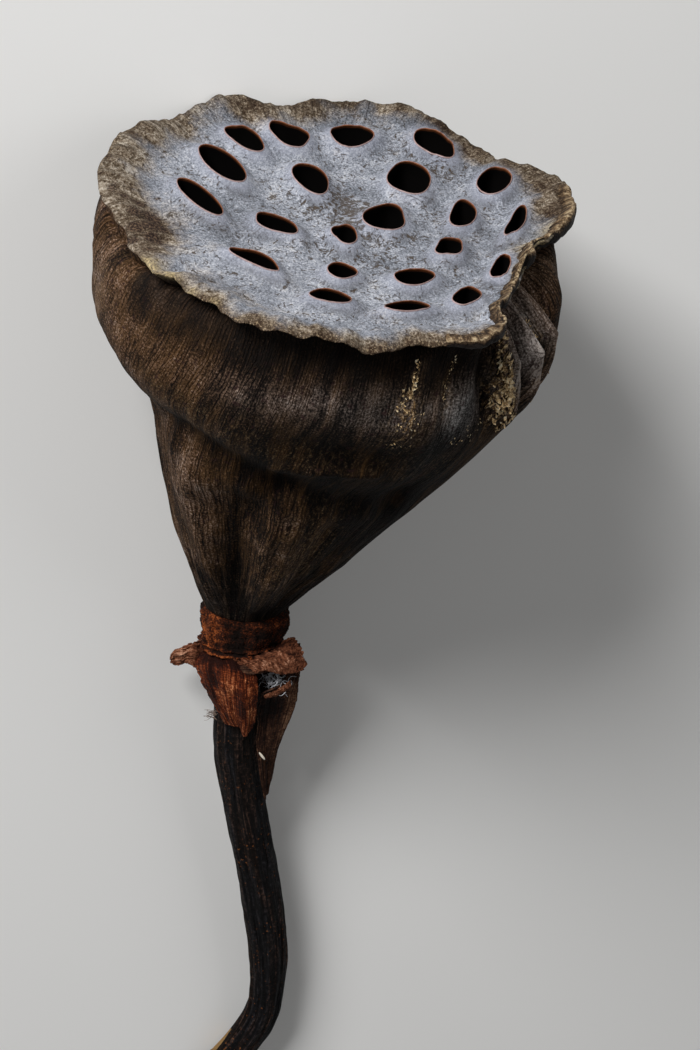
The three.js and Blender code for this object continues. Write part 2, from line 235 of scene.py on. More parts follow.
def blended(tree, factor, a, b, way="MIX"):
    colours = [value if isinstance(value, bpy.types.NodeSocket) else (*value, 1) for value in (a, b)]
    return addNode(tree, "Mix", {0: factor, 6: colours[0], 7: colours[1]}, output=2,
                   data_type="RGBA", blend_type=way)


def toned(tree, value, stops):
    output = addNode(tree, "ValToRGB", {0: value})
    ramp = output.node.color_ramp
    while len(ramp.elements) < len(stops):
        ramp.elements.new(0.5)
    for element, (position, colour) in zip(ramp.elements, stops):
        element.position = position
        element.color = (*colour, 1)
    return output


def bumpy(tree, shader, height, distance, strength=1.0):
    normal = addNode(tree, "Bump", {"Height": height, "Distance": distance, "Strength": strength})
    tree.links.new(normal, shader.inputs["Normal"])


# the seed pod: its wall, rim, disc and seed holes

rim = {
    "outline": [
        [0, 40], [8, 44.5], [18, 49.5], [28, 52], [36, 53], [44, 51], [52, 49], [60, 49],
        [70, 51], [80, 51.5], [90, 50.5], [99, 50.5], [105, 47.5], [111, 45], [119, 44.5],
        [127, 48.5], [134, 49], [150, 49], [160, 50.5], [172, 50.5], [184, 50], [192, 48.5],
        [198, 46.5], [208, 45.5], [226, 48.5], [233, 47], [243, 47.5], [252, 49.5],
        [264, 51], [275, 50.5], [285, 49.5], [293, 47.5], [300, 49], [310, 52.5],
        [316, 51], [321, 45], [328, 42.5], [340, 41], [350, 40],
    ],
    # each wave: its bearing, its half width in degrees and its height
    "waves": [
        [30, 16, 2], [57, 9, -1], [78, 9, 1.4], [97, 7, -0.8], [123, 10, 1.4],
        [143, 9, -0.6], [163, 11, 1.2], [205, 20, -3], [240, 16, -1.2], [267, 10, 0.8],
        [289, 10, -0.8], [312, 8, 1.6], [345, 16, -1],
    ],
    "overhang": [[0, 2.5], [40, 3], [120, 3], [180, 3], [194, 1.2], [212, 1.2], [222, 4], [232, 5],
                 [270, 6], [305, 5], [325, 2]],
    "roll": [[0, 0.3], [40, 0.6], [90, 0.5], [150, 0.7], [190, 1.5], [208, 1.6], [222, 0.8],
             [227, 0.5], [234, 1.4], [250, 1.9], [300, 1.9], [314, 1.2], [322, 0.3], [340, 0.2]],
    # where the browner band along the rim starts, and how far the rim's edge curls up
    "bandStart": [[0, 0.82], [60, 0.82], [120, 0.78], [180, 0.76], [215, 0.78], [228, 0.86], [245, 0.88],
                  [270, 0.92], [300, 0.92], [315, 0.9], [325, 0.94], [350, 0.9]],
    "curl": [[0, 0.8], [12, 2.2], [24, 0.8], [60, 0], [200, 0], [222, 0.6], [228, 1.4], [234, 0.5], [260, 0.3],
             [300, 0.2], [312, 1], [318, 0.4], [322, 1.8], [328, 0.8], [336, 1.8], [342, 1], [349, 2.6], [355, 1.4]],
    "flangeDrop": 3.5,
    "thickness": 0.9,
    "bowlDepth": 4,
}
wall = {
    "podHeight": 106.5,
    "neckShift": -4.6,
    "top": 94,
    "neckRise": 1.5, "neckAlongX": 0.1, "neckAlongY": -0.25, "neckFade": 25,
    "right": [[0, 8.2], [6, 11.3], [14, 15.2], [24, 20.3], [36, 26.5], [50, 35.3], [66, 43.7],
              [80, 48.9], [94, 48.3]],
    "left": [[0, 9.7], [6, 12.4], [14, 16.2], [24, 20.6], [36, 24.5], [50, 29.1], [66, 36.2],
             [80, 46.4], [94, 49.7]],
    "upper": [[0, 9.2], [6, 11.8], [14, 15.7], [24, 20.2], [36, 25.3], [50, 31.5], [66, 39],
              [80, 44.8], [94, 44.5]],
    "under": [[0, 9], [6, 11.6], [14, 15.2], [24, 19.6], [36, 24.4], [50, 29.2], [66, 33.2],
              [80, 37.5], [94, 46]],
    # each fold: points of bearing and height, its half width and its lift
    "folds": [
        [[[206, 58], [224, 65], [240, 68], [257, 66], [275, 60]], 5, -2],
        [[[226, 64], [240, 66], [256, 63], [268, 58]], 4, -1.8],
        [[[214, 84], [235, 82], [252, 80]], 12, 1.4],
        [[[262, 88], [290, 88], [306, 84]], 7, 1.2],
        [[[272, 76], [296, 75]], 5, -1.8],
        [[[268, 66], [285, 69], [298, 68.5]], 1.5, 1],
        [[[276, 60], [288, 58], [315, 57]], 6, -2.6],
        [[[244, 8], [238, 26], [232, 46], [240, 54]], 4.6, 2.4],
        [[[259, 6], [257, 28], [261, 50]], 4, -3.4],
        [[[284, 8], [280, 26], [276, 42]], 5, 2.4],
        [[[303, 4], [300, 44]], 4.6, -2],
    ],
    # the pleats under the right side of the rim, which fade downwards
    "pleats": [
        [[[300, 102], [300, 76]], 2.5, 1], [[[309, 102], [310, 76]], 2, -1.2],
        [[[319, 102], [321, 92], [326, 80], [332, 70]], 2.1, -2.8],
        [[[325, 102], [325.5, 92], [329, 85], [335, 76]], 1.9, 2.4],
        [[[329.5, 102], [331.5, 90], [334, 82], [339, 72]], 1.2, 1.3],
        [[[333.5, 102], [335, 91], [338, 82], [343, 72]], 1.5, -2.8],
        [[[338, 102], [340, 91], [342.5, 82], [347, 72]], 1.7, 2.4],
        [[[342.5, 102], [344, 91], [347, 82], [351, 72]], 1.5, -2.4],
        [[[348.5, 102], [349.5, 90], [352, 80]], 1.9, 2.2],
        [[[355, 102], [356, 80]], 2, -2.2], [[[3, 102], [3, 76]], 3.2, 1.4],
    ],
}
# each hole: its middle, its long and short diameter, its turn, and how far the outline
# leaves the ellipse in threes (two values) and in fours (two values)
seedHoles = [
    [-14.7, 30.0, 8.8, 7.1, 170, 0.11, -0.04, 0, -0.02], [-1.8, 36.1, 9.6, 8.0, 33, 0.06, 0, -0.01, -0.01],
    [-23.7, 25.2, 9.9, 6.0, 147, 0, 0.07, 0, 0.03], [16.1, 38.4, 10.6, 7.0, 143, -0.03, 0.02, 0.02, -0.02],
    [-26.9, 13.5, 14.0, 7.6, 135, -0.01, 0, 0, 0], [12.3, 24.0, 12.3, 9.3, 96, 0.03, -0.02, 0, 0.03],
    [-8.0, 16.2, 11.2, 7.2, 119, -0.06, 0.02, 0, 0], [30.2, 27.1, 9.9, 6.9, 79, 0, 0.01, 0, 0.02],
    [-29.1, -2.1, 14.6, 5.9, 134, -0.01, 0.02, -0.01, 0], [24.9, 13.3, 11.1, 5.4, 87, 0.02, 0.06, -0.02, 0.01],
    [9.0, 7.0, 10.7, 8.6, 75, 0.08, 0.01, 0.02, -0.01], [36.2, 11.8, 12.0, 3.2, 79, 0.04, 0.12, -0.03, -0.03],
    [-12.6, -4.7, 9.5, 6.5, 161, -0.03, -0.02, 0, -0.04], [1.7, -2.8, 7.6, 5.2, 104, -0.06, -0.06, 0, -0.04],
    [23.3, -1.5, 7.8, 5.4, 78, 0.04, 0.06, -0.04, -0.06], [-14.6, -21.7, 10.9, 5.4, 158, 0.01, 0.11, 0.01, 0],
    [34.4, -7.2, 9.0, 3.5, 80, 0.05, 0.05, -0.04, -0.01], [2.8, -18.5, 6.5, 6.0, 93, -0.02, 0.04, 0.02, 0.01],
    [17.4, -15.8, 8.5, 6.2, 28, 0.04, 0.01, -0.01, 0], [28.5, -21.8, 7.6, 5.1, 71, 0, 0.04, 0, 0.04],
    [1.8, -30.6, 8.3, 5.6, 4, 0.01, -0.05, 0.01, 0.02], [17.3, -29.1, 9.4, 4.2, 28, -0.04, 0, 0.01, -0.03],
]
podMesh = {"sides": 400, "wallRows": 100, "shoulderRows": 12, "discRows": 72, "holeSides": 44}


def rimRadius(bearing):
    ragged = (0.9 * roundGrain(bearing, 0, 7, 1, 2.6) + 0.4 * roundGrain(bearing, 0, 16, 1)
              + 0.1 * roundGrain(bearing, 0, 60, 1, 7.3))
    return smoothCurve(rim["outline"], bearing, True) + ragged


def rimLift(bearing):
    lift = 0.9 * roundGrain(bearing, 0, 11, 1, 3.1) + 0.4 * roundGrain(bearing, 0, 30, 1, 6.1)
    for place, width, height in rim["waves"]:
        lift = lift + height * np.exp(-((turnBetween(bearing, place) / width) ** 2))
    return lift


def holeDistance(x, y, hole):
    # millimetres outside the outline of one hole, and negative inside it
    middleX, middleY, long, short, angle, threeA, threeB, fourA, fourB = hole
    cos, sin = math.cos(math.radians(angle)), math.sin(math.radians(angle))
    across = ((x - middleX) * cos + (y - middleY) * sin) / (long / 2)
    up = ((y - middleY) * cos - (x - middleX) * sin) / (short / 2)
    t = np.arctan2(up, across)
    edge = 1 + threeA * np.cos(3 * t) + threeB * np.sin(3 * t) + fourA * np.cos(4 * t) + fourB * np.sin(4 * t)
    return (np.hypot(across, up) / edge - 1) * math.sqrt(long * short) / 2


def holeOutline(hole, t, extra=0.0):
    middleX, middleY, long, short, angle, threeA, threeB, fourA, fourB = hole
    cos, sin = math.cos(math.radians(angle)), math.sin(math.radians(angle))
    edge = 1 + threeA * np.cos(3 * t) + threeB * np.sin(3 * t) + fourA * np.cos(4 * t) + fourB * np.sin(4 * t)
    across = (long / 2 * edge + extra) * np.cos(t)
    up = (short / 2 * edge + extra) * np.sin(t)
    return middleX + across * cos - up * sin, middleY + across * sin + up * cos


def nearestHole(x, y):
    return np.min([holeDistance(x, y, hole) for hole in seedHoles], axis=0)


def paintedMoundShade(x, y):
    # painted shade at the foot of the mounds round the holes, most on the side that lies lowest
    moundShade = np.zeros(np.shape(x))
    for hole in seedHoles:
        outside = holeDistance(x, y, hole)
        away = np.hypot(x - hole[0], y - hole[1]) + 0.01
        lowSide = 0.5 + 0.5 * (0.42 * (x - hole[0]) - 0.91 * (y - hole[1])) / away
        moundShade = np.maximum(moundShade, np.exp(-(((outside - 1.9) / 1.3) ** 2)) * lowSide**1.3)
    return moundShade


def rimCalm(bearing):
    # how much of the rim's wrinkling is left: little of it at the front
    return 1 - 0.85 * np.exp(-((turnBetween(bearing, 256) / 60) ** 4))


def discTop(bearing, part):
    # the height of the disc's face at a part of the way from its middle to its rim
    radius = rimRadius(bearing) * part
    x, y = radius * np.cos(np.radians(bearing)), radius * np.sin(np.radians(bearing))
    height = rimLift(bearing) * easeIn(part, 0.6, 1) - rim["bowlDepth"] * (1 - part * part)
    roll = smoothCurve(rim["roll"], bearing, True)
    calm = rimCalm(bearing)
    wrinkles = (0.9 * roundGrain(bearing, part, 12, 0.22, 1.7)
                + calm * 0.45 * roundGrain(bearing, part, 30, 0.16, 3.7)
                + calm * 0.2 * roundGrain(bearing, part, 62, 0.2, 5.2))
    outside = np.maximum(nearestHole(x, y), 0)
    height = height + roll * (easeIn(part, 0.76, 0.93) - np.clip((part - 0.9) / 0.1, 0, 1) ** 2)
    height = height + wrinkles * easeIn(part, 0.72, 0.92) * easeIn(outside, 0.3, 4)
    height = height + smoothCurve(rim["curl"], bearing, True) * easeIn(part, 0.88, 1)
    mound = np.exp(-((outside / 2.3) ** 1.7))
    swells = 0.5 * grain(x / 8, y / 8, 0.5) + 0.16 * grain(x / 2.8, y / 2.8, 4.5)
    return (height + 0.7 + 0.2 * np.exp(-((outside / 0.5) ** 2)) - 1.9 * (1 - mound) * easeIn(part, 1.02, 0.8)
            - 0.7 * easeIn(part, 0.8, 1.02) + swells * easeIn(outside, 0.3, 3))


def wallMiddle(height):
    return wall["neckShift"] * (1 - height / wall["podHeight"])


def floorLimit(bearing, height):
    # the wall stays above what the pod lies on
    down = np.sin(np.radians(bearing - lying["roll"]))
    pitch = math.radians(lying["pitch"])
    room = (lying["discHeight"] - (wall["podHeight"] - height) * math.sin(pitch)) / math.cos(pitch)
    reach = room + wallMiddle(height) * math.sin(math.radians(lying["roll"]))
    return np.where(down < 0.2, 1000, reach / np.maximum(down, 0.2))


def foldAt(bearing, height, radius):
    fade = easeIn(height, 70, 91)
    return foldSum("folds", bearing, height, radius) + fade * foldSum("pleats", bearing, height, radius)


def foldSum(kind, bearing, height, radius):
    relief = np.zeros(np.shape(bearing))
    for points, width, lift in wall[kind]:
        nearest = np.full(np.shape(bearing), 1000.0)
        for (b0, h0), (b1, h1) in zip(points[:-1], points[1:]):
            runX, runY = math.radians(b1 - b0) * radius, h1 - h0
            toX, toY = np.radians(turnBetween(bearing, b0)) * radius, height - h0
            part = np.clip((toX * runX + toY * runY) / (runX**2 + runY**2), 0, 1)
            nearest = np.minimum(nearest, np.hypot(toX - part * runX, toY - part * runY))
        relief += lift * np.exp(-((nearest / width) ** 2))
    return relief


def fibreTurn(bearing, height):
    # the bearing that a fibre starts from: on the upper left the fibres slant
    slant = 11 * np.exp(-((turnBetween(bearing, 234) / 42) ** 2))
    return bearing - slant * easeIn(height, 60, 100)


def wallRelief(bearing, height):
    start = fibreTurn(bearing, height)
    low = easeIn(height, 66, 50)
    broad = roundGrain(start, height, 8, 24) * (0.6 + 0.5 * low)
    fine = roundGrain(start, height, 24, 12, 2.2) * 0.3 + roundGrain(start, height, 60, 9, 6.2) * 0.1
    pleats = roundGrain(start, height, 34, 22, 9.1) * 0.9
    pleats = pleats * np.exp(-((turnBetween(bearing, 336) / 26) ** 2)) * easeIn(height, 74, 92)
    return (broad + fine + pleats) * easeIn(height, -4, 10)


def wallRadiusAt(bearing, height):
    across, up = np.cos(np.radians(bearing)), np.sin(np.radians(bearing))
    plain = 0
    for side, weight in (("right", across), ("left", -across), ("under", up), ("upper", -up)):
        plain = plain + np.maximum(weight, 0) ** 2 * smoothCurve(wall[side], height)
    shaped = plain + foldAt(bearing, height, plain) + wallRelief(bearing, height)
    return np.minimum(shaped, floorLimit(bearing, height))


def wallPoint(bearing, height, radius):
    x, y = radius * np.cos(np.radians(bearing)), radius * np.sin(np.radians(bearing))
    fade = np.clip(1 - height / wall["neckFade"], 0, 1)
    tilt = wall["neckRise"] + wall["neckAlongX"] * x + wall["neckAlongY"] * y
    return np.stack([wallMiddle(height) + x, y, height - wall["podHeight"] + fade * tilt], axis=-1)


def shoulderPoint(bearing, degrees):
    angle = math.radians(degrees)
    rootHeight = wall["podHeight"] + rimLift(bearing) - rim["flangeDrop"]
    rootRadius = rimRadius(bearing) - smoothCurve(rim["overhang"], bearing, True)
    height = wall["top"] + (rootHeight - wall["top"]) * math.sin(angle)
    straight = 0.85 * np.exp(-((turnBetween(bearing, 337) / 22) ** 4))
    reach = (1 - straight) * math.cos(angle) + straight * (1 - math.sin(angle))
    radius = rootRadius + (wallRadiusAt(bearing, wall["top"]) - rootRadius) * reach
    change = foldAt(bearing, height, radius) - foldAt(bearing, wall["top"], radius) * reach
    change = change + wallRelief(bearing, height) - wallRelief(bearing, wall["top"]) * reach
    folded = radius + change * (math.cos(angle) + straight * (1 - math.cos(angle)) * math.cos(angle) ** 0.3)
    return wallPoint(bearing, height, np.minimum(folded, floorLimit(bearing, height)))


def discPoint(bearing, part, out=0.0, drop=0.0):
    radius = rimRadius(bearing) * part + out
    x, y = radius * np.cos(np.radians(bearing)), radius * np.sin(np.radians(bearing))
    return np.stack([x, y, discTop(bearing, part) - drop], axis=-1)


def podStations():
    # from the middle of the disc out to the rim, down the wall and in to the neck
    stations = []
    for i in range(podMesh["discRows"] + 1):
        part = i / podMesh["discRows"]
        stations.append(lambda b, part=part: discPoint(b, part))
    for out, drop in ((0.22, 0.12), (0.38, 0.4), (0.3, 0.75)):
        stations.append(lambda b, out=out, drop=drop: discPoint(b, 1, out, drop))
    for share in (0, 0.25, 0.5, 0.75):
        stations.append(lambda b, share=share: (
            discPoint(b, 1, 0, rim["thickness"]) * (1 - share ** 1.3) + shoulderPoint(b, 90) * share ** 1.3))
    for i in range(podMesh["shoulderRows"]):
        degrees = 90 - 90 * i / podMesh["shoulderRows"]
        stations.append(lambda b, degrees=degrees: shoulderPoint(b, degrees))
    for i in range(podMesh["wallRows"] + 1):
        height = wall["top"] * (1 - i / podMesh["wallRows"])
        stations.append(lambda b, height=height: wallPoint(b, height, wallRadiusAt(b, height)))
    for share in (0.8, 0.5, 0):
        stations.append(lambda b, share=share: wallPoint(b, 0, wallRadiusAt(b, 0) * share))
    return stations


def makeHoleCutter(i, hole):
    # an elliptical plug: the mouth, a wider hollow below it and a blunt end
    level = float(discTop(np.array([math.degrees(math.atan2(hole[1], hole[0]))]),
                          np.array([math.hypot(hole[0], hole[1])]) / rimRadius(
                              np.array([math.degrees(math.atan2(hole[1], hole[0]))])))[0])
    deselect()
    bpy.ops.mesh.primitive_cylinder_add(vertices=podMesh["holeSides"], radius=1, depth=4,
                                        location=(0, 0, level + 1.4))
    cutter = named("holeCutter%d" % i)
    bpy.ops.object.transform_apply(location=True, rotation=True, scale=True)
    points = readPoints(cutter)
    x, y = holeOutline(hole, np.arctan2(points[:, 1], points[:, 0]))
    points[:, 0], points[:, 1] = x, y
    writePoints(cutter, points)
    lowest = points[:, 2].min()
    bpy.ops.object.mode_set(mode="EDIT")
    bpy.ops.mesh.select_all(action="DESELECT")
    bpy.ops.object.mode_set(mode="OBJECT")
    for face in cutter.data.polygons:
        face.select = len(face.vertices) > 4 and face.center.z < lowest + 0.1
    bpy.ops.object.mode_set(mode="EDIT")
    middle = Vector((hole[0], hole[1], lowest))
    for step, size in ((0.8, 1.04), (1.6, 1.02), (3.2, 0.96), (3.6, 0.9), (2.2, 0.78), (1, 0.5)):
        move = Vector((-hole[0] * step * 0.008, -hole[1] * step * 0.008, -step))
        bpy.ops.mesh.extrude_region_move(TRANSFORM_OT_translate={"value": move})
        middle += move
        bpy.ops.transform.resize(value=(size, size, 1), center_override=middle)
    bpy.ops.object.mode_set(mode="OBJECT")
    return cutter


def dropBends(piece):
    # the cut leaves corners with only two edges, where faces would be split back to back
    ends = np.empty(len(piece.data.edges) * 2, int)
    piece.data.edges.foreach_get("vertices", ends)
    bends = np.bincount(ends, minlength=len(piece.data.vertices)) == 2
    makeActive(piece)
    bpy.ops.object.mode_set(mode="EDIT")
    bpy.ops.mesh.select_all(action="DESELECT")
    bpy.ops.object.mode_set(mode="OBJECT")
    piece.data.vertices.foreach_set("select", bends)
    bpy.ops.object.mode_set(mode="EDIT")
    bpy.ops.mesh.dissolve_verts()
    bpy.ops.object.mode_set(mode="OBJECT")


def makeSeedPod():
    pod = closedForm("seed_pod_skin", podMesh["sides"], podStations())
    cutters = [makeHoleCutter(i, hole) for i, hole in enumerate(seedHoles)]
    makeActive(cutters[0])
    for cutter in cutters:
        cutter.select_set(True)
    bpy.ops.object.join()
    applyModifier(pod, "BOOLEAN", object=cutters[0], operation="DIFFERENCE", solver="MANIFOLD")
    bpy.data.objects.remove(cutters[0])
    pod.data.materials.clear()
    dropBends(pod)
    return pod


# patches of the wall: bearing, height, half width and half height in mm, and how much
patches = {
    # lighter and darker patches: partly the skin's own colour, partly painted shade in the creases, hollows and pleat
    # grooves, under the rim and on the sides turned from the light, and painted light on the ridges, the lower left and
    # the right shoulder
    "toneLightAndShade": [
        [210, 88, 16, 12, 0.02], [238, 50, 9, 11, 0.16], [224, 46, 9, 14, 0.1], [215, 20, 8, 12, 0.08],
        [261, 87, 12, 6, 0.06], [289, 87, 12, 6, 0.04], [316, 84, 6, 8, 0.16], [250, 68, 20, 4, -0.2],
        [288, 75, 20, 5, -0.3], [286, 69.5, 12, 0.9, 0.12], [326, 46, 20, 24, -0.4], [336, 12, 8, 10, -0.15],
        [270, 6, 20, 7, -0.2], [255, 33, 4, 20, -0.16], [285, 34, 6, 16, 0.14], [246, 96, 22, 4, -0.16],
        [290, 97, 26, 4, -0.2], [325, 70, 14, 12, -0.2], [298, 60, 24, 9, -0.28], [338, 95, 12, 12, 0.42],
        [320.5, 94, 1.6, 8, -0.4], [324, 82, 1.4, 6, -0.3], [331.5, 91, 1, 7, 0.45], [334, 83, 1, 5, 0.3],
        [335, 91, 1.2, 7, -0.7], [338, 83, 1.2, 6, -0.5], [340.5, 90, 1.1, 8, 0.45], [346, 89, 1.5, 9, -0.55],
        [352, 90, 1.6, 10, 0.25], [90, 60, 60, 60, -0.08], [270, 62, 16, 4, -0.15], [286, 66, 22, 3.5, -0.3],
        [272, 84, 20, 7, -0.06],
        [275, 79, 26, 5, -0.12], [262, 60, 10, 8, -0.1],
    ],
    "cool": [
        [261, 87, 10, 6, 0.35], [289, 88, 14, 7, 0.7], [316, 86, 6, 12, 0.9], [310, 76, 6, 8, 0.7],
        [334, 93, 8, 11, 0.75], [346, 95, 5, 10, 0.5], [300, 8, 24, 10, 0.5], [203, 86, 5, 12, 0.2],
    ],
    "gold": [
        [298.5, 92, 1.1, 8, 1.4], [309, 94, 1.2, 7, 0.8], [325.5, 93, 1.8, 7, 1.6], [328.5, 85, 1.8, 6, 1.4], [299, 84, 4, 8, 0.5],
        [206, 92, 6, 8, 0.2], [202, 78, 4, 12, 0.35], [238, 76, 16, 8, 0.2], [267, 74, 14, 7, 0.24],
        [285, 36, 7, 16, 0.3], [294, 38, 4, 14, 0.4], [331.5, 90, 0.7, 8, 0.6], [340.5, 89, 0.8, 8, 0.6],
        [344.5, 88, 0.9, 9, 1.5], [353, 86, 2.5, 14, 0.6], [234, 44, 6, 14, 0.15],
        [313, 68, 12, 6, 0.2],
    ],
    "smooth": [[213, 88, 24, 15, 0.85], [285, 86, 24, 10, 0.7], [338, 96, 10, 12, 0.6], [316, 88, 6, 8, 0.4],
               [292, 73, 24, 6, 0.6], [240, 72, 18, 8, 0.35]],
}
# blotches of the disc: bearing, part of the way to the rim, half width in mm, how much
blotches = {
    "dark": [
        [191, 0.85, 2.6, 1.2], [197, 0.84, 3, 1.3], [197, 0.92, 2.6, 1.1], [205, 0.96, 3, 1.2], [190, 0.91, 2, 1],
        [187, 0.95, 2.2, 1], [210, 0.9, 3, 1.3], [216, 0.95, 2.6, 1], [210, 1, 2.4, 1.2], [203, 0.84, 3, 1.3],
        [185, 0.76, 1.8, 0.9], [204, 0.89, 3, 1.2], [24, 0.97, 2.5, 0.9], [122, 1, 2.5, 0.9], [176, 0.99, 1.8, 1.1],
        [158, 0.99, 1.6, 1], [142, 1, 1.6, 1.1], [110, 0.99, 2, 1], [60, 1, 2, 0.9], [245, 1, 1.5, 1.1],
        [258, 1, 1.3, 1.1], [272, 1, 1.6, 1.1], [286, 1, 1.3, 1.1], [302, 1, 1.6, 1.1], [311, 1, 1.6, 1.1],
    ],
    "brown": [
        [172, 0.93, 6, 0.6], [160, 0.94, 6, 0.6], [148, 0.93, 5, 0.5], [184, 0.87, 5, 0.6], [244, 1, 4, 0.6],
        [258, 1, 4.5, 0.6], [271, 1, 4.5, 0.65], [284, 1, 4.5, 0.7], [297, 1, 4.5, 0.65], [309, 1, 4.5, 0.6],
        [203, 0.9, 9, 1], [191, 0.9, 6, 0.9], [181, 0.97, 5, 0.6], [214, 0.95, 6, 0.8], [168, 0.98, 4, 0.5],
        [157, 0.98, 4, 0.5], [148, 1, 3, 0.5], [125, 0.93, 4, 0.8], [121, 1, 5, 0.9], [108, 0.97, 4, 0.8],
        [120, 0.88, 3, 0.6], [244, 0.84, 5, 0.4], [254, 0.82, 4, 0.4], [234, 0.84, 5, 0.45], [270, 0.94, 5, 0.3],
        [290, 0.94, 5, 0.3], [305, 0.92, 5, 0.4], [24, 0.95, 6, 0.9], [34, 0.94, 5, 0.8], [44, 0.97, 5, 0.7],
        [56, 1, 5, 0.9], [68, 1, 5, 0.9], [82, 1, 4, 0.7], [95, 0.99, 3, 0.6],
    ],
    "shade": [
        [70, 0.92, 14, 0.9], [100, 0.94, 13, 0.9], [45, 0.95, 11, 0.8], [125, 0.92, 9, 0.6], [18, 0.97, 9, 0.7],
        [352, 0.93, 7, 0.5], [335, 0.93, 6, 0.4], [270, 0.9, 9, 0.35], [240, 0.85, 8, 0.3], [295, 0.92, 9, 0.4],
        [190, 0.5, 16, 0.4], [345, 0.6, 13, 0.55], [15, 0.55, 13, 0.5],
    ],
    "yellow": [[225, 1, 2.6, 1.2], [231, 1, 2, 0.9], [238, 1, 1.4, 0.6], [245, 1, 1.2, 0.5],
               [10, 0.99, 3, 0.9], [2, 1, 3.2, 0.9],
               [348, 0.99, 2.2, 0.7], [338, 1, 2, 0.5]],
    "specks": [[78, 0.2, 6, 0.8], [45, 0.13, 7, 0.9], [100, 0.25, 7, 0.9], [10, 0.27, 4, 0.5],
               [258, 0.12, 5, 0.5], [317, 0.27, 5, 0.5], [61, 0.75, 4, 0.7], [30, 0.5, 5, 0.3]],
}


def patchValue(kind, bearing, height, radius):
    value = np.zeros(np.shape(bearing))
    for place, level, wide, tall, change in patches[kind]:
        across = np.radians(turnBetween(bearing, place)) * radius / wide
        value += change * np.exp(-(across**2) - ((height - level) / tall) ** 2)
    return value


def blotchValue(kind, x, y):
    value = np.zeros(np.shape(x))
    for place, part, wide, amount in blotches[kind]:
        reach = smoothCurve(rim["outline"], place, True) * part
        middleX, middleY = reach * math.cos(math.radians(place)), reach * math.sin(math.radians(place))
        value = np.maximum(value, amount * np.exp(-((x - middleX) ** 2 + (y - middleY) ** 2) / wide**2))
    return value


def markSeedPod(pod):
    # what the material reads: where each point lies and which patches it is in
    x, y, z = readPoints(pod).T
    bearing = np.degrees(np.arctan2(y, x))
    part = np.hypot(x, y) / rimRadius(bearing)
    below = discTop(bearing, np.minimum(part, 1)) - z
    holeGap = nearestHole(x, y)
    height = z + wall["podHeight"]
    onTop = 1 - easeIn(below, 0.2, 0.8)
    wallBearing = np.degrees(np.arctan2(y, x - wallMiddle(height)))
    radius = np.hypot(y, x - wallMiddle(height))
    start = np.radians(fibreTurn(wallBearing, height))
    setAttribute(pod, "fibre", np.stack([np.cos(start), np.sin(start), height], axis=-1))
    angle = np.radians(bearing)
    setAttribute(pod, "face", np.stack([np.cos(angle), np.sin(angle), part], axis=-1))
    setAttribute(pod, "onTop", onTop)
    setAttribute(pod, "depth", below)
    setAttribute(pod, "lipNear", np.exp(-((np.maximum(holeGap, 0) / 1.8) ** 2)))
    setAttribute(pod, "moundShade", paintedMoundShade(x, y))
    inner = smoothCurve(rim["bandStart"], bearing, True)
    rimNear = np.clip((part - inner) / (0.99 - inner), 0, 1)
    setAttribute(pod, "rimNear", rimNear)
    setAttribute(pod, "wrinkled", rimNear * rimCalm(bearing))
    flange = easeIn(smoothCurve(rim["overhang"], bearing, True), 2, 3.5)
    setAttribute(pod, "edge", easeIn(part, 0.975, 1.0) * easeIn(height, 98, 101) * flange)
    # where painted shadow falls on the wall under the overhanging rim
    setAttribute(pod, "rimShadow", easeIn(height, 88, 101) * (1 - onTop) * flange)
    for kind in patches:
        setAttribute(pod, kind, patchValue(kind, wallBearing, height, radius))
    nearTop = 1 - easeIn(below, 1, 2.5)
    for kind in blotches:
        setAttribute(pod, kind, blotchValue(kind, x, y) * nearTop)
    # the faces inside the seed holes take the second material: they look up or in to the hole's middle,
    # which moves as the hole leans
    nearest = np.argmin([holeDistance(x, y, hole) for hole in seedHoles], axis=0)
    for face in pod.data.polygons:
        corners = list(face.vertices)
        gap = holeGap[corners].mean()
        deep = below[corners].mean()
        leant = 1 - 0.008 * max(deep, 0)
        middleX, middleY = (value * leant for value in seedHoles[nearest[corners[0]]][:2])
        away = face.normal.x * (face.center.x - middleX) + face.normal.y * (face.center.y - middleY)
        inward = face.normal.z > 0.2 or away < 0
        outside = part[corners].mean() > 0.97 or deep > 25 or not inward
        face.material_index = int(not outside and (gap < 0.04 or (deep > 0.35 and gap < 1.4)))


def fibreLines(tree, angle, count, warp):
    # ridges 1 with narrow grooves 0 between them, as many as count round the pod
    wave = maths(tree, "SINE", maths(tree, "MULTIPLY_ADD", angle, count, warp))
    return ranged(tree, wave, -1.0, -0.2)


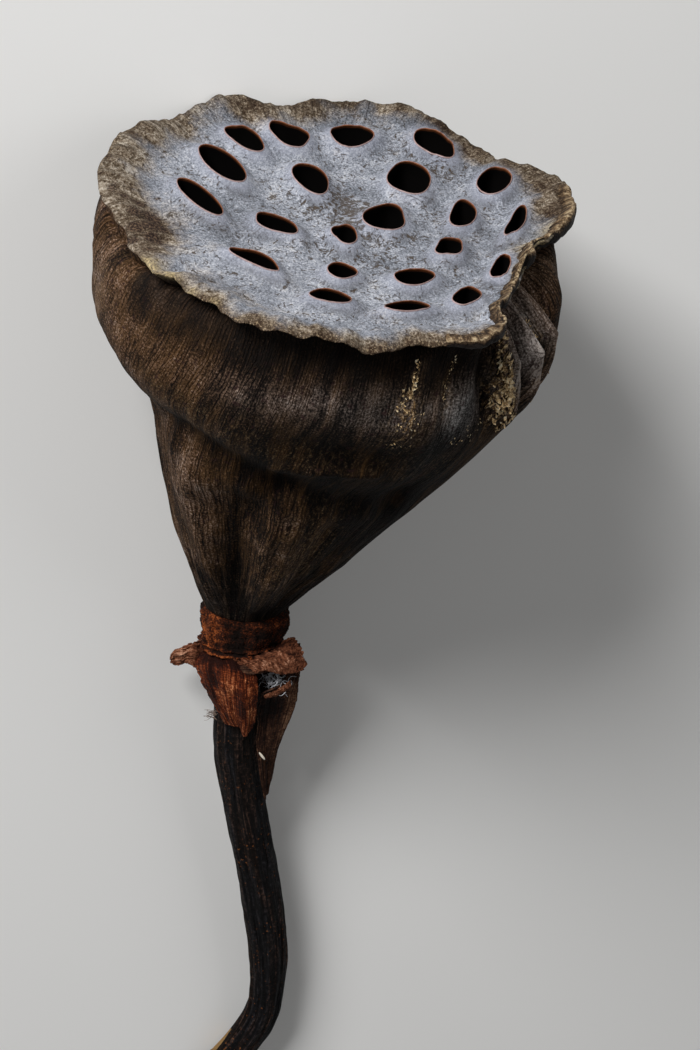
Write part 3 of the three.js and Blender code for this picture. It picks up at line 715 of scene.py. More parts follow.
def podMaterial():
    material, tree, shader = newMaterial("dry pod skin", **{"Roughness": 0.75, "Specular IOR Level": 0.08})
    place = stretched(tree, addNode(tree, "TexCoord", output="Object"), 1000, 1000, 1000)
    fibre = attribute(tree, "fibre", "Vector")
    face = attribute(tree, "face", "Vector")
    onTop = attribute(tree, "onTop")
    sides = addNode(tree, "SeparateXYZ", {0: fibre}).node.outputs
    angle = maths(tree, "ARCTAN2", sides[1], sides[0])
    height = sides[2]

    # the wall: narrow dark grooves between beaded fibres, fewer where the pod is narrow
    wander = noiseAt(tree, place, scale=0.45, detail=3)
    warp = noiseAt(tree, stretched(tree, fibre, 9, 9, 0.06), detail=4)
    warp = maths(tree, "MULTIPLY_ADD", warp, 30.0, maths(tree, "MULTIPLY", wander, 9.0))
    clouds = noiseAt(tree, place, scale=0.12, detail=5, roughness=0.65)
    shifted = maths(tree, "MULTIPLY_ADD", wander, 10.0, height)
    lower = ranged(tree, shifted, 26, 38)
    upper = ranged(tree, shifted, 58, 74)
    lines = addNode(tree, "Mix", {0: lower, 2: fibreLines(tree, angle, 110, warp),
                                  3: fibreLines(tree, angle, 200, warp)}, data_type="FLOAT")
    lines = addNode(tree, "Mix", {0: upper, 2: lines, 3: fibreLines(tree, angle, 330, warp)}, data_type="FLOAT")
    wide = noiseAt(tree, stretched(tree, fibre, 120, 120, 0.16), detail=3, roughness=0.65, distortion=0.3)
    narrow = noiseAt(tree, stretched(tree, fibre, 55, 55, 0.14), detail=3, roughness=0.65, distortion=0.3)
    strands = addNode(tree, "Mix", {0: ranged(tree, shifted, 30, 70), 2: narrow, 3: wide}, data_type="FLOAT")
    breaks = noiseAt(tree, stretched(tree, fibre, 40, 40, 0.14), detail=3)
    beads = noiseAt(tree, place, scale=2.3, detail=3, roughness=0.65)
    bands = noiseAt(tree, stretched(tree, fibre, 8, 8, 0.05), detail=5, roughness=0.6, distortion=0.6)
    rough = maths(tree, "MULTIPLY_ADD", attribute(tree, "smooth"), -0.75, 1.0)
    groove = maths(tree, "MULTIPLY", maths(tree, "SUBTRACT", 1.0, lines), ranged(tree, breaks, 0.36, 0.58, 0.15, 1))
    groove = maths(tree, "MULTIPLY", groove, rough)
    light = maths(tree, "MULTIPLY", maths(tree, "MULTIPLY_ADD", strands, 1.1, -0.55), rough)
    light = maths(tree, "MULTIPLY_ADD", beads, 1.7, maths(tree, "SUBTRACT", light, 0.28))
    light = maths(tree, "MULTIPLY_ADD", bands, 0.9, light)
    light = maths(tree, "MULTIPLY_ADD", clouds, 0.9, light)
    # the skin's tone with its painted light and shade
    light = maths(tree, "ADD", maths(tree, "ADD", light, attribute(tree, "toneLightAndShade")), -1.01)
    light = maths(tree, "MULTIPLY_ADD", groove, -0.42, light)
    brown = toned(tree, light, [(0.0, (0.003, 0.0015, 0.001)), (0.25, (0.012, 0.006, 0.003)),
                                (0.5, (0.06, 0.03, 0.0135)), (0.75, (0.188, 0.113, 0.076)),
                                (1.0, (0.52, 0.395, 0.32))])
    grey = toned(tree, light, [(0.0, (0.004, 0.004, 0.004)), (0.25, (0.018, 0.016, 0.015)),
                               (0.5, (0.075, 0.07, 0.067)), (0.75, (0.175, 0.165, 0.16)), (1.0, (0.36, 0.35, 0.34))])
    coolness = maths(tree, "ADD", attribute(tree, "cool"), ranged(tree, clouds, 0.56, 0.8, 0, 0.35))
    wallColour = blended(tree, coolness, brown, grey)
    hazel = maths(tree, "MULTIPLY", ranged(tree, bands, 0.45, 0.62), ranged(tree, strands, 0.4, 0.7, 0.1, 0.55))
    wallColour = blended(tree, maths(tree, "MULTIPLY", hazel, maths(tree, "SUBTRACT", 1.0, coolness)), wallColour,
                         (0.135, 0.068, 0.023))
    flakes = noiseAt(tree, stretched(tree, fibre, 60, 60, 0.7), detail=4, roughness=0.75)
    golden = maths(tree, "MULTIPLY", ranged(tree, flakes, 0.5, 0.62), attribute(tree, "gold"))
    golden = maths(tree, "MULTIPLY", golden, maths(tree, "MULTIPLY_ADD", groove, -0.8, 1.0))
    wallColour = blended(tree, golden, wallColour, toned(tree, beads, [
        (0.32, (0.08, 0.04, 0.014)), (0.5, (0.28, 0.165, 0.07)), (0.66, (0.75, 0.56, 0.34))]))
    spots = noiseAt(tree, place, scale=0.62, detail=3, roughness=0.6)
    wallColour = blended(tree, ranged(tree, spots, 0.6, 0.68, 0, 0.75), wallColour, (0.022, 0.009, 0.009))
    # painted shadow on the wall under the overhanging rim
    wallColour = blended(tree, maths(tree, "MULTIPLY", attribute(tree, "rimShadow"), 0.8), wallColour,
                         (0.007, 0.005, 0.004))

    # the disc: lavender grey, speckled, browner towards its rim
    fine = noiseAt(tree, place, scale=2.3, detail=4, roughness=0.8)
    soft = noiseAt(tree, place, scale=0.17, detail=4, roughness=0.6)
    swirls = noiseAt(tree, place, scale=0.5, detail=5, roughness=0.7, distortion=2.2)
    rimNear, lipNear = attribute(tree, "rimNear"), attribute(tree, "lipNear")
    level = maths(tree, "MULTIPLY_ADD", fine, 1.8, maths(tree, "MULTIPLY_ADD", soft, 0.8, -1.02))
    level = maths(tree, "MULTIPLY_ADD", swirls, 0.55, level)
    level = maths(tree, "MULTIPLY_ADD", attribute(tree, "shade"), -0.24, level)
    discColour = toned(tree, level, [(0.1, (0.05, 0.053, 0.06)), (0.38, (0.19, 0.203, 0.232)),
                                     (0.62, (0.38, 0.398, 0.45)), (0.92, (0.7, 0.71, 0.74))])
    streaks = noiseAt(tree, stretched(tree, face, 26, 26, 3.5), detail=4, roughness=0.65, distortion=0.6)
    bandLevel = maths(tree, "MULTIPLY_ADD", streaks, 1.0, maths(tree, "ADD", level, -0.41))
    bandLevel = maths(tree, "MULTIPLY_ADD", attribute(tree, "brown"), -0.26, bandLevel)
    torn = noiseAt(tree, place, scale=0.42, detail=5, roughness=0.75, distortion=1.5)
    bandLevel = maths(tree, "MULTIPLY_ADD", torn, 1.5, maths(tree, "SUBTRACT", bandLevel, 0.77))
    bandColour = toned(tree, bandLevel, [(0.1, (0.025, 0.013, 0.008)), (0.36, (0.12, 0.085, 0.055)),
                                         (0.6, (0.29, 0.235, 0.175)), (0.9, (0.6, 0.53, 0.44))])
    band = maths(tree, "MULTIPLY_ADD", rimNear, 0.6, maths(tree, "MULTIPLY_ADD", soft, 1.4, -0.72))
    band = maths(tree, "ADD", band, attribute(tree, "brown"))
    band = maths(tree, "MULTIPLY_ADD", swirls, 0.5, maths(tree, "ADD", band, -0.25))
    discColour = blended(tree, ranged(tree, band, 0.12, 0.8), discColour, bandColour)
    # painted shade at the foot of the mounds round the holes
    moundShaded = maths(tree, "MULTIPLY", attribute(tree, "moundShade"), ranged(tree, swirls, 0.35, 0.65, 0.25, 0.9))
    discColour = blended(tree, moundShaded, discColour, (0.085, 0.085, 0.09))
    smooth = maths(tree, "MULTIPLY", lipNear, 0.5)
    discColour = blended(tree, smooth, discColour, (0.36, 0.375, 0.455))
    worms = noiseAt(tree, place, scale=0.75, detail=5, roughness=0.7, distortion=1.2)
    amount = maths(tree, "MULTIPLY_ADD", attribute(tree, "specks"), 0.16, maths(tree, "MULTIPLY", soft, 0.24))
    amount = maths(tree, "MULTIPLY_ADD", lipNear, -0.08, amount)
    marks = ranged(tree, maths(tree, "ADD", worms, amount), 0.68, 0.75, 0, 0.85)
    discColour = blended(tree, marks, discColour, (0.065, 0.042, 0.022))
    crackPlace = addNode(tree, "VectorMath", {0: place, 1: maths(tree, "MULTIPLY_ADD", swirls, 7.0, maths(tree, "MULTIPLY", soft, 16.0))},
                         operation="ADD")
    cracks = addNode(tree, "TexVoronoi", {"Vector": crackPlace, "Scale": 0.075, "Randomness": 1.0},
                     feature="DISTANCE_TO_EDGE")
    chosen = ranged(tree, noiseAt(tree, place, scale=0.07, detail=1), 0.5, 0.56)
    cracks = maths(tree, "MULTIPLY", ranged(tree, cracks, 0.004, 0.016, 0.5, 0), chosen)
    discColour = blended(tree, cracks, discColour, (0.05, 0.035, 0.025))
    wrinkle = noiseAt(tree, stretched(tree, face, 48, 48, 6), detail=4, roughness=0.7, distortion=0.8)
    wrinkled = attribute(tree, "wrinkled")
    wrinkles = maths(tree, "MULTIPLY", ranged(tree, wrinkle, 0.5, 0.66), wrinkled)
    discColour = blended(tree, maths(tree, "MULTIPLY", wrinkles, 0.85), discColour, (0.045, 0.03, 0.02))
    purple = maths(tree, "MULTIPLY_ADD", torn, 2.2, attribute(tree, "dark"))
    discColour = blended(tree, ranged(tree, purple, 1.75, 2.1, 0, 0.95), discColour, toned(tree, fine, [
        (0.42, (0.01, 0.006, 0.006)), (0.52, (0.05, 0.03, 0.023)), (0.6, (0.2, 0.13, 0.08))]))

    colour = blended(tree, onTop, wallColour, discColour)
    # the overhanging edge of the rim darker in patches, and cream in others: the edge's paler skin and in part a
    # painted highlight
    edgeDarkening = maths(tree, "MULTIPLY", attribute(tree, "edge"), ranged(tree, torn, 0.38, 0.56, 0, 0.85))
    colour = blended(tree, edgeDarkening, colour, (0.05, 0.03, 0.017))
    creamEdgeAndHighlight = maths(tree, "MULTIPLY", attribute(tree, "edge"), ranged(tree, beads, 0.55, 0.64, 0, 0.62))
    colour = blended(tree, creamEdgeAndHighlight, colour, (0.46, 0.34, 0.2))
    yellow = maths(tree, "MULTIPLY", attribute(tree, "yellow"), ranged(tree, fine, 0.4, 0.6, 0.1, 1))
    colour = blended(tree, yellow, colour, (0.6, 0.47, 0.25))
    tree.links.new(colour, shader.inputs["Base Color"])

    wallHeight = maths(tree, "MULTIPLY", maths(tree, "MULTIPLY_ADD", groove, -0.8, strands), rough)
    wallHeight = maths(tree, "MULTIPLY_ADD", bands, 1.2, maths(tree, "MULTIPLY_ADD", beads, 0.6, wallHeight))
    discHeight = maths(tree, "MULTIPLY_ADD", fine, 0.6, maths(tree, "MULTIPLY", marks, -0.3))
    discHeight = maths(tree, "MULTIPLY_ADD", swirls, 0.5, discHeight)
    discHeight = maths(tree, "MULTIPLY_ADD", maths(tree, "MULTIPLY", wrinkle, wrinkled), 2.2, discHeight)
    relief = addNode(tree, "Mix", {0: onTop, 2: wallHeight, 3: discHeight}, data_type="FLOAT")
    bumpy(tree, shader, relief, 0.0006, 1.0)
    return material


def holeMaterial():
    # rusty skin at the mouth of a seed hole, with painted shade that turns it near black further down
    material, tree, shader = newMaterial("seed hole inside", **{"Roughness": 0.9, "Specular IOR Level": 0.05})
    place = stretched(tree, addNode(tree, "TexCoord", output="Object"), 1000, 1000, 1000)
    mottled = noiseAt(tree, place, scale=0.8, detail=3)
    rusty = toned(tree, mottled, [(0.3, (0.05, 0.014, 0.005)), (0.7, (0.13, 0.042, 0.014))])
    dark = ranged(tree, maths(tree, "MULTIPLY_ADD", mottled, 0.5, attribute(tree, "depth")), 0.3, 0.9)
    tree.links.new(blended(tree, dark, rusty, (0.0008, 0.0005, 0.0004)), shader.inputs["Base Color"])
    return material


# the lips of the seed holes

lips = {"sides": 48, "around": 10, "wide": 0.12, "tall": 0.18}


def makeLips():
    rings = []
    for i, hole in enumerate(seedHoles):
        deselect()
        bpy.ops.mesh.primitive_torus_add(major_segments=lips["sides"], minor_segments=lips["around"],
                                         major_radius=4, minor_radius=1)
        ring = named("hole_lip%d" % i)
        x, y, z = readPoints(ring).T
        out = np.hypot(x, y) - 4
        t = np.arctan2(y, x)
        x, y = holeOutline(hole, t, out * lips["wide"] + 0.02)
        bearing = np.degrees(np.arctan2(y, x))
        top = discTop(bearing, np.hypot(x, y) / rimRadius(bearing))
        uneven = 0.06 * grain(np.cos(t) * 3, np.sin(t) * 3, 0.7 * i)
        writePoints(ring, np.stack([x, y, top + z * lips["tall"] + 0.02 + uneven], axis=-1))
        setAttribute(ring, "outward", out)
        rings.append(ring)
    makeActive(rings[0])
    for ring in rings:
        ring.select_set(True)
    bpy.ops.object.join()
    rings[0].name = "hole_lips"
    return rings[0]


def lipMaterial():
    material, tree, shader = newMaterial("seed hole lip", **{"Roughness": 0.55, "Specular IOR Level": 0.4})
    place = stretched(tree, addNode(tree, "TexCoord", output="Object"), 1000, 1000, 1000)
    mottled = noiseAt(tree, place, scale=1.1, detail=3)
    inner = toned(tree, mottled, [(0.3, (0.09, 0.025, 0.008)), (0.7, (0.26, 0.085, 0.025))])
    outer = toned(tree, mottled, [(0.3, (0.25, 0.16, 0.14)), (0.7, (0.42, 0.32, 0.33))])
    outward = ranged(tree, attribute(tree, "outward"), -0.5, 0.45)
    tree.links.new(blended(tree, outward, inner, outer), shader.inputs["Base Color"])
    bumpy(tree, shader, mottled, 0.0002, 0.6)
    return material


# the collar under the pod

collar = {
    "sides": 200, "rows": 80, "radius": 10.0, "gap": 0.3,
    "footX": -4.6, "footY": -1.9, "footZ": -115, "alongX": 0.18, "alongY": -0.28,
    "slitBearing": 266, "slitWidth": 8, "slitDepth": 0.9,
    "profile": [[0, -1.6], [0.04, -0.5], [0.09, -0.5], [0.14, -1.1], [0.19, -0.7], [0.25, -1.1], [0.4, -0.7],
                [0.55, -0.3], [0.75, -0.1], [0.92, 0.2], [1, -0.3]],
    # painted light and shade: the lit left side and the ridges at the foot lighter, the slit, the right side and the
    # grooves at the foot darker: bearing, part of the way up, their sizes and how much
    "lightAndShadePatches": [[218, 0.7, 24, 0.35, 0.26], [232, 0.45, 16, 0.2, 0.12], [266, 0.7, 6, 0.3, -0.4],
              [285, 0.3, 24, 0.16, -0.22], [300, 0.75, 20, 0.3, 0.02], [250, 0.06, 60, 0.04, 0.35],
              [250, 0.12, 60, 0.03, -0.3], [250, 0.19, 50, 0.03, 0.25], [262, 0.27, 20, 0.06, -0.3]],
}


def footLevel(x, y):
    return (collar["footZ"] + collar["alongX"] * (x - collar["footX"])
            + collar["alongY"] * (y - collar["footY"]))


def neckLevel(x, y):
    return (wall["neckRise"] - wall["podHeight"] + wall["neckAlongX"] * (x - wall["neckShift"])
            + wall["neckAlongY"] * y)


def collarPoint(bearing, part, share=1.0):
    angle = np.radians(bearing)
    bumps = (0.25 * np.sin(5 * angle + 4 * part) + 0.16 * np.sin(9 * angle - 5 * part + 1)
             + 0.14 * np.sin(17 * angle + 3 * part + 2))
    slit = np.exp(-((turnBetween(bearing, collar["slitBearing"]) / collar["slitWidth"]) ** 2))
    crumbs = (0.4 * roundGrain(bearing, part * 12, 6, 5, 8.4) + 0.3 * roundGrain(bearing, part * 12, 15, 2)
              + 0.22 * roundGrain(bearing, part * 12, 38, 0.5, 4.4) + 0.12 * roundGrain(bearing, part * 12, 70, 0.3, 2))
    radius = (collar["radius"] + smoothCurve(collar["profile"], part) + bumps
              - collar["slitDepth"] * slit * easeIn(part, 0.25, 0.6) + crumbs) * share
    x = collar["footX"] + (wall["neckShift"] - collar["footX"]) * part + radius * np.cos(angle)
    y = collar["footY"] * (1 - part) + radius * np.sin(angle)
    low, high = footLevel(x, y), neckLevel(x, y) - collar["gap"]
    return np.stack([x, y, low + (high - low) * part], axis=-1)


def makeCollar():
    stations = [lambda b, s=share: collarPoint(b, 1, s) for share in (0, 0.4, 0.8)]
    for i in range(collar["rows"] + 1):
        stations.append(lambda b, part=1 - i / collar["rows"]: collarPoint(b, part))
    stations += [lambda b, s=share: collarPoint(b, 0, s) for share in (0.8, 0.4, 0)]
    return closedForm("rusty_collar", collar["sides"], stations)


def markCollar(piece):
    x, y, z = readPoints(piece).T
    part = np.clip((z - footLevel(x, y)) / (neckLevel(x, y) - footLevel(x, y)), 0, 1)
    bearing = np.degrees(np.arctan2(y - collar["footY"] * (1 - part), x - collar["footX"]))
    lightAndShade = np.zeros(len(x))
    for place, level, wide, tall, amount in collar["lightAndShadePatches"]:
        lightAndShade += amount * np.exp(-((turnBetween(bearing, place) / wide) ** 2) - ((part - level) / tall) ** 2)
    setAttribute(piece, "lightAndShade", lightAndShade)
    angle = np.radians(bearing)
    setAttribute(piece, "round", np.stack([np.cos(angle), np.sin(angle), part * 12], axis=-1))
    return piece


def collarMaterial():
    material, tree, shader = newMaterial("rusty collar skin", **{"Roughness": 0.85, "Specular IOR Level": 0.12})
    place = stretched(tree, addNode(tree, "TexCoord", output="Object"), 1000, 1000, 1000)
    crumbs = noiseAt(tree, place, scale=2.2, detail=3, roughness=0.8)
    broad = noiseAt(tree, place, scale=0.28, detail=3)
    wrinkles = noiseAt(tree, stretched(tree, attribute(tree, "round", "Vector"), 6, 6, 0.6), detail=4,
                       distortion=0.8)
    level = maths(tree, "MULTIPLY_ADD", crumbs, 2.0, maths(tree, "MULTIPLY_ADD", broad, 1.3, -1.62))
    # painted light and shade on the collar
    level = maths(tree, "MULTIPLY_ADD", wrinkles, 0.8, maths(tree, "ADD", level, attribute(tree, "lightAndShade")))
    colour = toned(tree, level, [(0.15, (0.006, 0.002, 0.001)), (0.42, (0.026, 0.007, 0.0028)),
                                 (0.66, (0.115, 0.024, 0.0065)), (0.95, (0.46, 0.12, 0.03))])
    tree.links.new(colour, shader.inputs["Base Color"])
    bumpy(tree, shader, maths(tree, "MULTIPLY_ADD", wrinkles, 0.7, crumbs), 0.0014, 1.0)
    return material


# the stem

stemShape = {
    "sides": 72, "rows": 260, "cut": 0.7,
    "radius": [[115.3, 5.2], [140, 5.2], [157, 5], [199.5, 4.8], [212, 4.2], [232, 4.2]],
    "line": [
        [115.3, -4.2, -1.9], [124, -3.5, -3.3], [140, -1.4, -5.2], [157, 3.1, -6.1],
        [168, 6.6, -6.9], [185, 11.9, -8.3], [199.5, 15.7, -10], [213.6, 17.4, -12.7],
        [219.3, 16.4, -14.5], [225.8, 13.4, -17.3], [230, 10.6, -19.8], [231.8, 8.2, -21.4],
    ],
}


def makeStem():
    line = stemShape["line"]
    below = np.linspace(line[0][0], line[-1][0], 1200)
    path = np.stack([smoothCurve([[row[0], row[1]] for row in line], below),
                     smoothCurve([[row[0], row[2]] for row in line], below), -below], axis=-1)
    reach = np.concatenate([[0], np.cumsum(np.linalg.norm(np.diff(path, axis=0), axis=1))])
    steps = np.linspace(0, reach[-1], stemShape["rows"] + 1)
    middles = np.stack([np.interp(steps, reach, path[:, axis]) for axis in range(3)], axis=-1)
    tangents = np.gradient(middles, axis=0)
    tangents /= np.linalg.norm(tangents, axis=1)[:, None]
    side = np.cross(tangents, (0, 1, 0))
    side /= np.linalg.norm(side, axis=1)[:, None]
    front = np.cross(tangents, side)
    radii = smoothCurve(stemShape["radius"], -middles[:, 2])

    def ring(step, share=1.0):
        def points(bearing):
            angle = np.radians(bearing)
            length = steps[step]
            ribs = (0.16 * np.cos(5 * angle) + 0.1 * np.cos(9 * angle + 0.7)
                    + 0.42 * roundGrain(bearing + 0.25 * length, length, 3.4, 24)
                    + 0.34 * roundGrain(bearing + 0.2 * length, length, 8, 12, 3.3)
                    + 0.14 * roundGrain(bearing, length, 18, 4, 6.3))
            size = (radii[step] + ribs - 0.1) * share
            out = side[step] * (np.cos(angle) * size)[:, None] - front[step] * (np.sin(angle) * size)[:, None]
            place = middles[step] + out
            if step == 0:
                place[:, 2] = footLevel(place[:, 0], place[:, 1]) - collar["gap"]
            nearEnd = easeIn(step, stemShape["rows"] * 0.97, stemShape["rows"])
            crush = 0.25 * roundGrain(bearing, 0, 6, 1) * nearEnd * (share > 0)
            return place + tangents[step] * (stemShape["cut"] * out[:, 0] * nearEnd + crush)[:, None]
        return points

    rows = stemShape["rows"]
    stations = [ring(0, share) for share in (0, 0.6)] + [ring(step) for step in range(rows + 1)]
    stations += [ring(rows, share) for share in (0.88, 0.6, 0.3, 0)]
    stem = closedForm("dry_stem", stemShape["sides"], stations)
    points = readPoints(stem)
    nearest = np.argmin(((points[:, None, :] - middles[None, ::2]) ** 2).sum(axis=2), axis=1) * 2
    nearest = np.minimum(nearest, rows)
    out = points - middles[nearest]
    angle = np.arctan2(-(out * front[nearest]).sum(axis=1), (out * side[nearest]).sum(axis=1))
    setAttribute(stem, "fibre", np.stack([np.cos(angle), np.sin(angle), steps[nearest]], axis=-1))
    peeled = np.exp(-((turnBetween(np.degrees(angle), 160) / 22) ** 2)) * easeIn(-points[:, 2], 221, 225)
    setAttribute(stem, "peeled", peeled)
    return stem


def stemMaterial():
    material, tree, shader = newMaterial("dry stem skin", **{"Roughness": 0.65, "Specular IOR Level": 0.12})
    place = stretched(tree, addNode(tree, "TexCoord", output="Object"), 1000, 1000, 1000)
    fibre = attribute(tree, "fibre", "Vector")
    ribs = noiseAt(tree, stretched(tree, fibre, 8, 8, 0.1), detail=5, roughness=0.7, distortion=0.5)
    strips = noiseAt(tree, stretched(tree, fibre, 1.6, 1.6, 0.03), detail=3, distortion=0.5)
    mottled = noiseAt(tree, place, scale=1.1, detail=4, roughness=0.75)
    level = maths(tree, "MULTIPLY_ADD", ribs, 1.5, maths(tree, "MULTIPLY_ADD", mottled, 1.1, -0.85))
    black = toned(tree, level, [(0.25, (0.0015, 0.0014, 0.0016)), (0.5, (0.006, 0.0055, 0.0065)),
                                (0.72, (0.03, 0.027, 0.031)), (0.95, (0.1, 0.092, 0.1))])
    brown = toned(tree, level, [(0.25, (0.002, 0.0013, 0.001)), (0.5, (0.014, 0.008, 0.006)),
                                (0.72, (0.105, 0.058, 0.043)), (0.95, (0.26, 0.17, 0.125))])
    colour = blended(tree, ranged(tree, strips, 0.44, 0.56), black, brown)
    specks = ranged(tree, noiseAt(tree, place, scale=1.3, detail=3), 0.65, 0.69)
    specks = maths(tree, "MULTIPLY", specks, ranged(tree, noiseAt(tree, place, scale=0.12), 0.45, 0.6))
    colour = blended(tree, specks, colour, (0.36, 0.12, 0.03))
    peeled = maths(tree, "MULTIPLY_ADD", mottled, 0.8, attribute(tree, "peeled"))
    colour = blended(tree, ranged(tree, peeled, 0.75, 0.85), colour, (0.42, 0.25, 0.1))
    tree.links.new(colour, shader.inputs["Base Color"])
    bumpy(tree, shader, level, 0.0014, 1.0)
    return material


# the petal remnants

petals = {
    "thickness": 0.35,
    # each petal grows from the collar's foot, at these bearings
    "frontRoot": [204, 221, 238, 255, 272, 289],
    "front": [
        [[-13.6, -6.5, -118.8], [-11.3, -9.5, -116.4], [-7.9, -12, -114.5], [-4.7, -13, -113.4],
         [-1.6, -13.2, -114.2], [1, -12, -115.7]],
        [[-12.3, -7.5, -121.8], [-10, -10.5, -119.4], [-7.1, -12.8, -117.7], [-4.1, -14, -116.9],
         [-1, -14.6, -116.5], [1.6, -12.6, -118.3]],
        [[-10.3, -8.5, -124.7], [-8.4, -11, -122.5], [-6, -12.9, -120.6], [-3.4, -14, -119.7],
         [-0.6, -15.2, -118.8], [1.9, -12.8, -121]],
        [[-8.4, -9, -127.4], [-6.8, -11, -125.6], [-4.9, -12.4, -124.3], [-2.7, -13.6, -123.4],
         [-0.2, -14.6, -122.5], [2.1, -12.4, -124.3]],
        [[-6.3, -9.5, -129.8], [-5, -11, -128.5], [-3.5, -12, -127.9], [-1.8, -12.8, -127.4],
         [0.3, -13.6, -126.8], [2.2, -12, -127.3]],
        [[-4.3, -10, -132], [-3.4, -10.8, -131.4], [-2.2, -11.6, -130.7], [-0.8, -12, -130.8],
         [0.6, -12.4, -132.5], [2.3, -12, -129.1]],
    ],
    "leftRoot": [172, 190, 210],
    "left": [
        [[-13.9, -3.5, -114.7], [-13.5, -5, -117], [-13.1, -6.5, -120.2]],
        [[-15.2, -3.6, -115.6], [-14.8, -5.6, -116.9], [-14.4, -6.2, -120.1]],
        [[-16.4, -3.8, -116.5], [-16, -4.6, -118.3], [-15.7, -5.8, -120.2]],
        [[-17.7, -3.8, -117.5], [-17.3, -5.6, -118.4], [-16.8, -5.2, -121.3]],
        [[-18.8, -4, -118.5], [-18.6, -4.6, -119.8], [-18.1, -5, -122]],
        [[-19.6, -4.4, -119.9], [-19.6, -4.8, -120.8], [-19.1, -4.6, -122]],
    ],
    "long": [
        [[7.7, -5, -115.7], [8.7, -4, -115.9], [9.9, -3, -116.7]],
        [[6.5, -8.5, -118.5], [8.5, -6, -118.8], [10.2, -4.6, -118.9]],
        [[2.7, -10.6, -120.8], [6.7, -7.4, -122.3], [10.6, -5, -122.7]],
        [[2.5, -10.6, -126.3], [6.6, -7.6, -127.6], [10.5, -5.4, -127.5]],
        [[3.3, -10.2, -133.3], [6.7, -8, -134.3], [9.4, -6, -134]],
        [[4.6, -9.8, -140.1], [6.7, -8, -141], [8.5, -6.4, -140]],
        [[6.1, -9, -146.9], [7.2, -7.8, -147.6], [8.5, -6.8, -146.5]],
        [[7.6, -8, -153], [8, -7.6, -154.1], [8.3, -7, -151.4]],
    ],
    # each row of the skirt: its bearing, its reach and the drop of its outer edge
    "skirt": [
        [184, 9, 1.4], [202, 8.8, 1.4], [220, 8.8, 1.5], [238, 9, 1.6], [252, 9.4, 2], [262, 10, 2.4],
        [272, 10.8, 2.6], [290, 11.6, 2.8], [308, 12, 2.8], [323, 12.6, 3], [338, 13.6, 3.4],
        [351, 14.6, 3.8], [366, 13.6, 3], [380, 12.2, 2], [398, 10.8, 1],
    ],
    "skirtInner": 7.6,
    # the torn front of the skirt, over the right half
    "flapRoot": [250, 272, 290, 308, 328, 350],
    "flap": [
        [[-4.6, -11.2, -112.6], [-2.2, -11.2, -111.8], [0.5, -10.8, -110.7], [2.9, -10, -109.7],
         [5, -8.2, -108.6], [6.9, -5.2, -107.3]],
        [[-2.2, -11.8, -113.9], [0, -11.8, -112], [2.3, -11.4, -111.2], [4.7, -11, -110.9],
         [7.3, -9.6, -110], [9.4, -6.6, -108.6]],
        [[-0.4, -12, -114.9], [1.5, -12.2, -113], [3.4, -11.8, -112.8], [6.2, -11.4, -113.5],
         [9.1, -10, -113.1], [11.8, -8, -112.9]],
    ],
    # a dark sheet at the back of the fluff that stands in for the shade there, and the pale fold along the top of the
    # long petal
    "back": [
        [[1, -4.5, -112], [5, -3, -111.5], [9, -2, -111]], [[1, -4.5, -117], [5, -3, -117], [9.4, -2, -116.5]],
        [[1.5, -5, -121], [5.5, -3.6, -121.5], [9.6, -2.6, -121]], [[2.4, -5.4, -125], [6, -4.4, -126], [9, -3.4, -125]],
    ],
    "fold": [
        [[3.2, -11.2, -120.6], [5.8, -10.9, -118.5], [8.5, -9.8, -115.8]],
        [[3.6, -11.6, -121], [6.1, -11.5, -118.9], [8.9, -10.4, -117]],
        [[4.6, -11.4, -120.6], [6.4, -11.2, -119.6], [8.6, -9.9, -118.2]],
    ],
    # painted shade on each petal, lighter where the amount is negative: across, along, their half sizes and how dark
    "frontShade": [[0.3, 0.35, 0.14, 0.12, 0.4], [0.12, 0.6, 0.1, 0.2, 0.3], [0.72, 0.5, 0.07, 0.3, 0.35],
                   [0.5, 0.08, 0.6, 0.1, 0.5], [0.95, 0.8, 0.1, 0.1, -0.2], [0.6, 0.36, 0.2, 0.14, -0.2]],
    "leftShade": [[0.5, 0.15, 0.4, 0.15, 0.25], [0.4, 0.6, 0.3, 0.3, -0.25]],
    "longShade": [[0.3, 0.38, 0.3, 0.12, 0.5], [0.85, 0.4, 0.15, 0.3, -0.25], [0.5, 0.75, 0.3, 0.2, 0.05]],
    "skirtShade": [[0.1, 0.5, 0.15, 1, 0.3]],
    "flapShade": [[0.5, 0.1, 0.8, 0.2, 0.35], [0.9, 0.5, 0.08, 0.4, 0.2], [0.45, 0.75, 0.2, 0.2, -0.15]],
}


def collarFoot(bearings, rise):
    # a row of points inside the collar's foot, where a petal starts
    row = []
    for bearing in bearings:
        x = collar["footX"] + 8.2 * math.cos(math.radians(bearing))
        y = collar["footY"] + 8.2 * math.sin(math.radians(bearing))
        row.append([x, y, footLevel(x, y) + rise])
    return row


